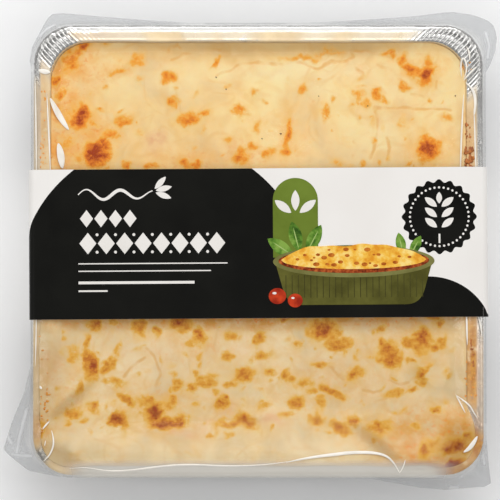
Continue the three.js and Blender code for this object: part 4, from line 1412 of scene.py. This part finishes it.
def board_material():
    graph = Graph("sleeve_board")
    fibre = graph.noise(1.2, 3, 0.6)
    cloud = graph.noise(40, 2)
    printed = graph.ramp(cloud, [(0.3, srgb(236, 232, 227)), (0.7, srgb(242, 239, 235))])
    bare = graph.ramp(fibre, [(0.3, srgb(126, 110, 90)), (0.7, srgb(160, 142, 118))])
    colour = graph.mix(graph.attribute("inside"), printed, bare)
    shader = graph.principled(
        Base_Color=colour,
        Roughness=graph.map(fibre, 0.3, 0.7, 0.36, 0.46),
        Specular_IOR_Level=0.45,
        Normal=graph.bump(fibre, 0.03, 0.5),
    )
    return graph.finish(shader)


def make_sleeve():
    """The board sleeve: a closed band with its cut edges showing."""
    outer, inner = whole_section(BOARD), whole_section(0)
    count = len(outer)
    rows = np.linspace(-SLEEVE_WIDTH / 2, SLEEVE_WIDTH / 2, SLEEVE_ROWS)
    verts = []
    for v in np.repeat(rows[:, None], count, axis=1):
        wave = board_wave(outer[:, 0], v, outer[:, 1])
        verts += [turn_sleeve(section[:, 0], v, section[:, 1] + wave) for section in (outer, inner)]
    rings = np.arange(2 * len(rows) * count).reshape(len(rows), 2, count)
    faces = []
    for near, far in zip(rings, rings[1:]):
        faces += join_rings(near[0], far[0])
        faces += join_rings(near[1], far[1], back=True)
    faces += join_rings(*rings[0], back=True)
    faces += join_rings(*rings[-1])
    verts = np.vstack(verts)
    board = board_material()
    piece = make_piece("sleeve_of_board", verts, faces, board, "sleeve", smooth=False)
    give_attribute(piece, "inside", np.tile(np.repeat([0, 1], count), len(rows)))


# The sleeve's outside as a path from the middle of its top, by distance along it
SLEEVE_PATH = sleeve_section(BOARD)[::-1]
PATH_LENGTH = run_length(SLEEVE_PATH)
PATH_NORMAL = line_normals(SLEEVE_PATH)

# Tones of the print, from dark to light
BLACK_TONES = [srgb(13, 13, 10), srgb(17, 17, 13)]
BADGE_TONES = [srgb(13, 13, 11), srgb(18, 18, 15)]
WHITE_TONES = [srgb(232, 228, 222), srgb(240, 236, 231)]
GREEN_TONES = [srgb(98, 116, 38), srgb(112, 132, 48)]
OLIVE_TONES = [srgb(76, 74, 28), srgb(104, 102, 44)]
OLIVE_RIM_TONES = [srgb(106, 104, 54), srgb(128, 126, 72)]
GROOVE_TONES = [srgb(54, 52, 20), srgb(72, 70, 30)]
LEAF_TONES = [srgb(48, 84, 24), srgb(92, 134, 44), srgb(132, 166, 72)]
VEIN_TONES = [srgb(150, 178, 96), srgb(170, 194, 116)]
TOMATO_TONES = [srgb(150, 38, 18), srgb(206, 66, 30)]
FILLING_TONES = [srgb(88, 30, 12), srgb(150, 62, 24), srgb(196, 104, 48)]
GOLD_TONES = [srgb(226, 150, 40), srgb(244, 190, 72), srgb(251, 220, 132)]
TOAST_TONES = [srgb(160, 78, 20), srgb(206, 120, 38)]

# Places of the print, across and along the sleeve from its middle
LEFT_FIELD = (-45.9, -20.3, 71)  # middle and radius
RIGHT_FIELD = (82, -48.6, 32)
RIGHT_START = (-24, 22)  # where the right field's round begins, from its middle
FIELD_OVERLAP = 0.06
BADGE = (87.5, 12.2, 17.4)
TAB_MIDDLE = 18
TAB_HALF = 10.9
TAB_TOP = 20.6
TAB_FOOT = -7.0
DISH_MIDDLE = 46
DISH_MOUTH = -9
DISH_FOOT = -30
ORNAMENT_LEFT = -87
RULES = ((-9.4, 72, 0.55), (-13.0, 64, 0.55), (-18.6, 56, 1.3), (-22.6, 14, 0.8))  # place, length, width


def ink_material(name, tones, size, gloss=0.34):
    """Ink that drifts through a few tones, from dark to light, over patches of the given size."""
    graph = Graph(name)
    cloud = graph.noise(size, 4, 0.6)
    shade = graph.ramp(cloud, list(zip(np.linspace(0.36, 0.64, len(tones)), tones)))
    shader = graph.principled(
        Base_Color=shade,
        Roughness=graph.map(cloud, 0.3, 0.7, gloss - 0.04, gloss + 0.06),
        Specular_IOR_Level=0.1,
        Normal=graph.bump(graph.noise(1.2, 3, 0.6), 0.02, 0.4),
    )
    return graph.finish(shader)


def on_sleeve(s, v, lift):
    """Places at a distance s round the sleeve from the middle of its top, lifted off its surface."""
    reach = np.abs(s)
    x, z = (np.interp(reach, PATH_LENGTH, SLEEVE_PATH[:, i]) for i in (0, 1))
    nx, nz = (np.interp(reach, PATH_LENGTH, PATH_NORMAL[:, i]) for i in (0, 1))
    wave = board_wave(np.sign(s) * x, v, z)
    return turn_sleeve(np.sign(s) * (x + nx * lift), v, z + nz * lift + wave)


def clip_half(points, axis, limit, keep):
    """Keeps the part of a polygon where keep times its coordinate is under keep times the limit."""
    kept = []
    for (a, b) in zip(points, np.roll(points, -1, axis=0)):
        inside_a, inside_b = keep * a[axis] <= keep * limit, keep * b[axis] <= keep * limit
        if inside_a:
            kept.append(a)
        if inside_a != inside_b:
            kept.append(a + (b - a) * (limit - a[axis]) / (b[axis] - a[axis]))
    return np.array(kept)


def clip_to_sleeve(points):
    half = SLEEVE_WIDTH / 2 - PRINT_MARGIN
    return clip_half(clip_half(np.asarray(points, float), 1, half, 1), 1, -half, -1)


def disc(u, v, radius, squash=1.0, steps=72):
    angle = np.linspace(0, 2 * math.pi, steps, endpoint=False)
    return np.column_stack([u + radius * np.cos(angle), v + radius * squash * np.sin(angle)])


def leaf(u, v, length, width, turn):
    """A pointed oval from its foot at u, v."""
    share = np.linspace(0, 1, 15)
    bulge = width / 2 * np.sin(math.pi * share) ** 0.8
    upper = np.column_stack([length * share, bulge])
    lower = np.column_stack([length * share, -bulge])[-2:0:-1]
    shape = np.vstack([upper, lower])
    cos, sin = math.cos(math.radians(turn)), math.sin(math.radians(turn))
    return shape @ np.array([[cos, sin], [-sin, cos]]) + (u, v)


def bar(u, v, length, width):
    half = width / 2
    return np.array([(u, v - half), (u + length, v - half), (u + length, v + half), (u, v + half)])


def lozenge(u, v, long, wide):
    return np.array([(u - long, v), (u, v - wide), (u + long, v), (u, v + wide)])


def strip(lower, upper):
    """Quads between two lines of equal count."""
    return [np.array([a, b, c, d]) for a, b, c, d in zip(lower, lower[1:], upper[1:], upper)]


def ribbon(points, width):
    """A band along a line, of even width or with a width at each point."""
    half = np.broadcast_to(width, len(points))[:, None] / 2
    normal = line_normals(points)
    return strip(points - normal * half, points + normal * half)


def cut_positions(low, high):
    """Where print is cut so that it follows the board: often over the shoulders, seldom on the flat."""
    flat = np.arange(-WALL_TOP_HALF, WALL_TOP_HALF, PRINT_CELL)
    left = np.arange(-PRINT_END, -WALL_TOP_HALF, SHOULDER_CELL)
    right = np.arange(WALL_TOP_HALF, PRINT_END, SHOULDER_CELL)
    cuts = np.concatenate([left, flat, right])
    return cuts[(cuts > low) & (cuts < high)]


def flat_print(polygons):
    """Shapes on the flat, trimmed to the sleeve and cut so that they can follow it."""
    mesh = bmesh.new()
    for polygon in polygons:
        clipped = clip_to_sleeve(polygon)
        if len(clipped) > 2:
            mesh.faces.new([mesh.verts.new((s, v, 0)) for s, v in clipped])
    bmesh.ops.remove_doubles(mesh, verts=mesh.verts, dist=1e-4)
    places = np.array([vertex.co for vertex in mesh.verts])
    low, high = places.min(axis=0), places.max(axis=0)
    along = np.arange(-SLEEVE_WIDTH / 2, SLEEVE_WIDTH / 2, PRINT_CELL)
    cuts = [((cut, 0, 0), (1, 0, 0)) for cut in cut_positions(low[0], high[0])]
    cuts += [((0, cut, 0), (0, 1, 0)) for cut in along[(along > low[1]) & (along < high[1])]]
    for place, direction in cuts:
        everything = [*mesh.verts, *mesh.edges, *mesh.faces]
        bmesh.ops.bisect_plane(mesh, geom=everything, plane_co=place, plane_no=direction, dist=1e-5)
    bmesh.ops.recalc_face_normals(mesh, faces=mesh.faces)
    return mesh


def print_on_sleeve(name, polygons, layer, material):
    """Thin flat shapes of ink on the sleeve, as one piece of closed plates."""
    mesh = flat_print(polygons)
    made = bmesh.ops.extrude_face_region(mesh, geom=mesh.faces[:])
    raised = [item for item in made["geom"] if isinstance(item, bmesh.types.BMVert)]
    lifts = {vertex: -INK_STEP for vertex in mesh.verts} | {vertex: INK_STEP * layer for vertex in raised}
    places = np.array([vertex.co[:2] for vertex in lifts])
    moved = on_sleeve(places[:, 0], places[:, 1], np.array(list(lifts.values()))) * MM
    for vertex, place in zip(lifts, moved):
        vertex.co = place
    bmesh.ops.triangulate(mesh, faces=mesh.faces[:])
    bmesh.ops.recalc_face_normals(mesh, faces=mesh.faces)
    data = bpy.data.meshes.new(name)
    mesh.to_mesh(data)
    mesh.free()
    place_piece(name, data, material)


def print_fields():
    """Broad fields of colour: two black rounds cut by the sleeve's edges, and a green tab."""
    edge = -SLEEVE_WIDTH / 2
    left_u, left_v, left_radius = LEFT_FIELD
    right_u, right_v, right_radius = RIGHT_FIELD
    # The right field starts at the edge of the left one and rises to its own round
    rise = np.linspace(edge, right_v + RIGHT_START[1], 8)
    start = left_u + np.sqrt((left_radius - FIELD_OVERLAP) ** 2 - (rise - left_v) ** 2)
    hill = disc(*RIGHT_FIELD, steps=96)
    hill = hill[(hill[:, 1] > edge) & (hill[:, 0] > right_u + RIGHT_START[0])]
    hill = hill[np.argsort(hill[:, 0])]
    right_field = np.vstack([np.column_stack([start, rise]), hill, [(right_u + right_radius, edge)]])
    fields = [disc(*LEFT_FIELD, steps=160), right_field]
    print_on_sleeve("print_black_fields", fields, 1, ink_material("ink_black", BLACK_TONES, 30))
    arch = disc(TAB_MIDDLE, TAB_TOP, TAB_HALF)
    feet = [(TAB_MIDDLE - TAB_HALF, TAB_FOOT), (TAB_MIDDLE + TAB_HALF, TAB_FOOT)]
    tab = np.vstack([arch[arch[:, 1] >= TAB_TOP], feet])
    print_on_sleeve("print_green_tab", [tab], 2, ink_material("ink_green", GREEN_TONES, 24))


def leaf_fan(u, v, gap, length, width, turns):
    """Leaves spread from one place, each starting a little way out from it."""
    feet = [(u + gap * math.cos(math.radians(t)), v + gap * math.sin(math.radians(t)), t) for t in turns]
    return [leaf(foot_u, foot_v, length, width, turn) for foot_u, foot_v, turn in feet]


def print_ornament(white):
    """Generic white ornament on the black field: a flourish, two rows of lozenges and plain rules."""
    share = np.linspace(0, 1, 60)
    sway = 2.6 * np.sin(2.2 * 2 * math.pi * share) * (1 - 0.3 * share)
    flourish = np.column_stack([ORNAMENT_LEFT + 36 * share, 24 + sway])
    shapes = ribbon(flourish, 0.5 + 1.1 * np.sin(math.pi * share) ** 2)
    shapes += leaf_fan(-51, 25.4, 1.6, 8, 2.8, (48, 14, -20))
    shapes += [lozenge(-83 + 7.0 * i, 12.4, 3.2, 4.2) for i in range(4)]
    left, step, middle = -82.4, 8.9, 0.4
    shapes += [lozenge(left + step * i, middle, 4.1, 5.2) for i in range(8)]
    for i in range(7):
        shapes += [disc(left + step * (i + 0.5), middle + side, 0.7, steps=20) for side in (-4.2, 4.2)]
    shapes += [bar(ORNAMENT_LEFT, *rule) for rule in RULES]
    print_on_sleeve("print_white_ornament", shapes, 2, white)


def print_badge(black, white):
    """A black seal with a scalloped edge and an upright sprig of plain leaves."""
    u, v, radius = BADGE
    around = disc(0, 0, 1, steps=192)
    scallops = 1 + 0.045 * np.cos(20 * np.arctan2(around[:, 1], around[:, 0]))
    print_on_sleeve("print_badge", [(u, v) + radius * scallops[:, None] * around], 2, black)
    turns = np.arange(40) * math.pi / 20
    shapes = [disc(u + 14.2 * math.cos(turn), v + 14.2 * math.sin(turn), 0.55, steps=16) for turn in turns]
    shapes += [bar(u - 0.45, v - 10.5, 0.9, 4.5)]
    for level in (-6, -1, 4):
        shapes += leaf_fan(u, v + level, 1.4, 7.4, 3.2, (38, 142))
    shapes.append(leaf(u, v + 6.4, 5.6, 2.8, 90))
    print_on_sleeve("print_badge_motif", shapes, 3, white)


def dish_front(u, top, foot, half_top, half_foot, bend):
    """Front view of an oven dish with slanting sides and rounded lower corners."""
    left = bezier((-half_foot - 0.3 * bend, foot + bend), (-half_foot, foot), (-half_foot + bend, foot), 10)
    right = left[::-1] * (-1, 1)
    return np.vstack([left, right, [(half_top, top), (-half_top, top)]]) + (u, 0)


def mound(u, v, half, low, high):
    """A heaped top over the mouth of the dish, with an uneven upper edge."""
    share = np.linspace(-1, 1, 61)
    across = u + half * share
    lower = v - low * np.sqrt(1 - share**2)
    uneven = 0.5 * np.sin(7 * share) + 0.3 * np.sin(17 * share)
    upper = v + high * (1 - share**4) + uneven * (1 - share**2)
    return strip(np.column_stack([across, lower]), np.column_stack([across, upper]))


def scattered_discs(u, v, half, tall, count, seed):
    """Discs spread over an oval without touching."""
    draw = np.random.default_rng(seed)
    placed = []
    while len(placed) < count:
        x, y, size = draw.uniform(-1, 1), draw.uniform(-1, 1), draw.uniform(0.6, 1.7)
        place = np.array([u + half * x, v + tall * y])
        apart = all(np.hypot(*(place - other)) > size + other_size + 0.3 for other, other_size in placed)
        if x * x + y * y < 1 and apart:
            placed.append((place, size))
    return [disc(*place, size, 0.62, 24) for place, size in placed]


def herb_sprigs():
    """Leaves behind both ends of the dish, and the veins along their middles."""
    left = (DISH_MIDDLE - 25, DISH_MOUTH, 5, 15, 6.4, (62, 104, 146))
    right = (DISH_MIDDLE + 25, DISH_MOUTH - 2, 5, 11, 4.8, (62, 102, 142))
    leaves = []
    veins = []
    for u, v, gap, length, width, turns in (left, right):
        leaves += leaf_fan(u, v, gap, length, width, turns)
        veins += leaf_fan(u, v, gap + 1, length - 4, 0.6, turns)
    return leaves, veins


def print_meal(white):
    """A generic oven dish with a browned bake, herb leaves behind it and tomatoes in front."""
    u, mouth, foot = DISH_MIDDLE, DISH_MOUTH, DISH_FOOT
    leaves, veins = herb_sprigs()
    grooves = [bar(u - 33 + 3 * i, mouth - 12, 0.35, 11) for i in range(23)]
    spots = scattered_discs(u, mouth + 1.6, 29, 4.4, 26, 71)
    tomatoes = [disc(u - 37, foot + 4.4, 4.2, 0.92), disc(u - 28.4, foot + 2.2, 3.6, 0.92)]
    glints = [disc(u - 38.4, foot + 5.8, 1.0, 0.6, 20), disc(u - 29.5, foot + 3.4, 0.8, 0.6, 20)]
    # From the back of the picture to its front: name, shapes, ink, tones, size of their patches
    layers = [
        ("print_leaves", leaves, "ink_leaf", LEAF_TONES, 5),
        ("print_leaf_veins", veins, "ink_vein", VEIN_TONES, 4),
        ("print_dish", [dish_front(u, mouth, foot, 38, 32, 7)], "ink_olive", OLIVE_TONES, 16),
        ("print_dish_grooves", grooves, "ink_groove", GROOVE_TONES, 9),
        ("print_dish_rim", [disc(u, mouth, 39, 0.2)], "ink_olive_rim", OLIVE_RIM_TONES, 12),
        ("print_dish_mouth", [disc(u, mouth + 0.3, 36.4, 0.165)], "ink_filling", FILLING_TONES, 2.6),
        ("print_bake", mound(u, mouth + 0.8, 35, 4.6, 7), "ink_gold", GOLD_TONES, 5),
        ("print_bake_spots", spots, "ink_toast", TOAST_TONES, 2),
        ("print_tomatoes", tomatoes, "ink_tomato", TOMATO_TONES, 6),
    ]
    for layer, (name, shapes, ink, tones, size) in enumerate(layers, start=4):
        print_on_sleeve(name, shapes, layer, ink_material(ink, tones, size))
    print_on_sleeve("print_tomato_glints", glints, 13, white)
    print_on_sleeve("print_tab_motif", leaf_fan(TAB_MIDDLE, 13, 2.6, 10, 4.0, (38, 90, 142)), 3, white)


def make_print():
    white = ink_material("ink_white", WHITE_TONES, 30)
    black = ink_material("ink_badge_black", BADGE_TONES, 20, 0.24)
    print_fields()
    print_ornament(white)
    print_badge(black, white)
    print_meal(white)


# Specks of oil, sauce and pepper


def blobs(name, centres, radii, flatness, seed, material, slot):
    """Many small uneven drops joined in one piece."""
    ball = bmesh.new()
    bmesh.ops.create_icosphere(ball, subdivisions=2, radius=1)
    unit = np.array([vertex.co for vertex in ball.verts])
    triangles = np.array([[vertex.index for vertex in face.verts] for face in ball.faces])
    ball.free()
    draw = np.random.default_rng(seed)
    verts = []
    faces = []
    for (x, y, z), radius in zip(centres, radii):
        stretch = draw.uniform(0.7, 1.5)
        turn = draw.uniform(0, math.pi)
        shape = unit * (1 + 0.16 * draw.standard_normal(len(unit)))[:, None]
        shape = shape * (radius * stretch, radius / stretch, radius * flatness)
        spin = np.array([[math.cos(turn), math.sin(turn)], [-math.sin(turn), math.cos(turn)]])
        shape[:, :2] = shape[:, :2] @ spin
        faces += (triangles + len(verts) * len(unit)).tolist()
        verts.append(shape + (x, y, z))
    make_piece(name, np.vstack(verts), faces, material)


def drop_material(name, dark, light, roughness):
    graph = Graph(name)
    colour = graph.ramp(graph.noise(1.5, 3, 0.6), [(0.3, dark), (0.7, light)])
    shader = graph.principled(
        Base_Color=colour,
        Roughness=roughness,
        Normal=graph.bump(graph.noise(0.6, 2), 0.1, 0.6),
    )
    return graph.finish(shader)


def on_food(x, y):
    """A place just above the sauce."""
    return x, y, float(sauce_top(x, y)) + SPECK_LIFT


def scatter(groups, seed):
    """Centres and radii of specks that lie on the flange or, inside the wall, on the food."""
    draw = np.random.default_rng(seed)
    centres = []
    radii = []
    for (left, top, right, bottom), count, small, large in groups:
        for _ in range(count):
            x, y = from_photo((draw.uniform(left, right), draw.uniform(top, bottom)))
            if max(abs(x), abs(y)) < TRAY_HALF - 2 * CURL_RADIUS:
                centres.append(on_food(x, y))
                radii.append(draw.uniform(small, large))
    return centres, radii


def make_specks():
    oil = drop_material("orange_oil", srgb(232, 138, 44), srgb(248, 182, 76), 0.3)
    blobs("oil_specks", *scatter(OIL_SPECKS, 61), 0.22, 62, oil, "lasagne")
    sauce = drop_material("dark_sauce", srgb(150, 80, 28), srgb(210, 124, 46), 0.45)
    blobs("sauce_smears", *scatter(SAUCE_SMEARS, 63), 0.2, 64, sauce, "lasagne")
    pepper = drop_material("pepper", srgb(92, 68, 36), srgb(128, 96, 52), 0.6)
    grains = [on_food(*from_photo((px, py))) for px, py, _ in PEPPER_GRAINS]
    blobs("pepper_grains", grains, [radius for _, _, radius in PEPPER_GRAINS], 0.6, 65, pepper, "lasagne")


# Floor, lights and camera


def floor_material():
    graph = Graph("pale_floor")
    colour = graph.ramp(graph.noise(60, 2), [(0.3, (0.93, 0.93, 0.93, 1)), (0.7, (0.95, 0.95, 0.95, 1))])
    return graph.finish(graph.principled(Base_Color=colour, Roughness=0.8, Specular_IOR_Level=0.1))


def make_stage():
    mesh = bpy.data.meshes.new("floor")
    signs = ((-1, -1), (1, -1), (1, 1), (-1, 1))
    mesh.from_pydata([(FLOOR_HALF * a, FLOOR_HALF * b, 0) for a, b in signs], [], [(0, 1, 2, 3)])
    mesh.materials.append(floor_material())
    floor = bpy.data.objects.new("floor", mesh)
    bpy.context.scene.collection.objects.link(floor)


def add_light(name, azimuth, elevation, distance, size, power):
    """A soft box that faces the pack."""
    light = bpy.data.lights.new(name, "AREA")
    light.shape = "RECTANGLE"
    light.size, light.size_y = size
    light.energy = power
    lamp = bpy.data.objects.new(name, light)
    turn, rise = math.radians(azimuth), math.radians(elevation)
    way = Vector((math.cos(turn) * math.cos(rise), math.sin(turn) * math.cos(rise), math.sin(rise)))
    lamp.location = way * distance
    lamp.rotation_euler = way.to_track_quat("Z", "Y").to_euler()
    bpy.context.scene.collection.objects.link(lamp)


def make_lights():
    world = bpy.data.worlds.new("studio")
    world.use_nodes = True
    background = world.node_tree.nodes["Background"]
    background.inputs["Color"].default_value = (1, 1, 1, 1)
    background.inputs["Strength"].default_value = WORLD_STRENGTH
    bpy.context.scene.world = world
    for light in LIGHTS:
        add_light(*light)


def make_camera():
    """Looks almost straight down, with the tray a little right of the middle of the frame."""
    aim_x, aim_y = from_photo((PHOTO_SIZE / 2, PHOTO_SIZE / 2)) * MM
    aim = Vector((aim_x, aim_y, RIM_TOP * MM))
    camera = bpy.data.cameras.new("camera")
    camera.lens = camera.sensor_width * CAMERA_DISTANCE / (PHOTO_SIZE * MM_PER_PIXEL * MM)
    camera.clip_end = 20
    viewer = bpy.data.objects.new("camera", camera)
    back = Vector((0, -math.cos(CAMERA_ELEVATION), math.sin(CAMERA_ELEVATION)))
    viewer.location = aim + back * CAMERA_DISTANCE
    viewer.rotation_euler = back.to_track_quat("Z", "Y").to_euler()
    bpy.context.scene.collection.objects.link(viewer)
    bpy.context.scene.camera = viewer
    bpy.context.scene.view_settings.view_transform = "Standard"


make_camera()
make_lights()
make_stage()
make_food()
make_tray()
make_film()
make_back_seam()
make_pinches_with_painted_highlights()
make_sleeve()
make_print()
make_specks()
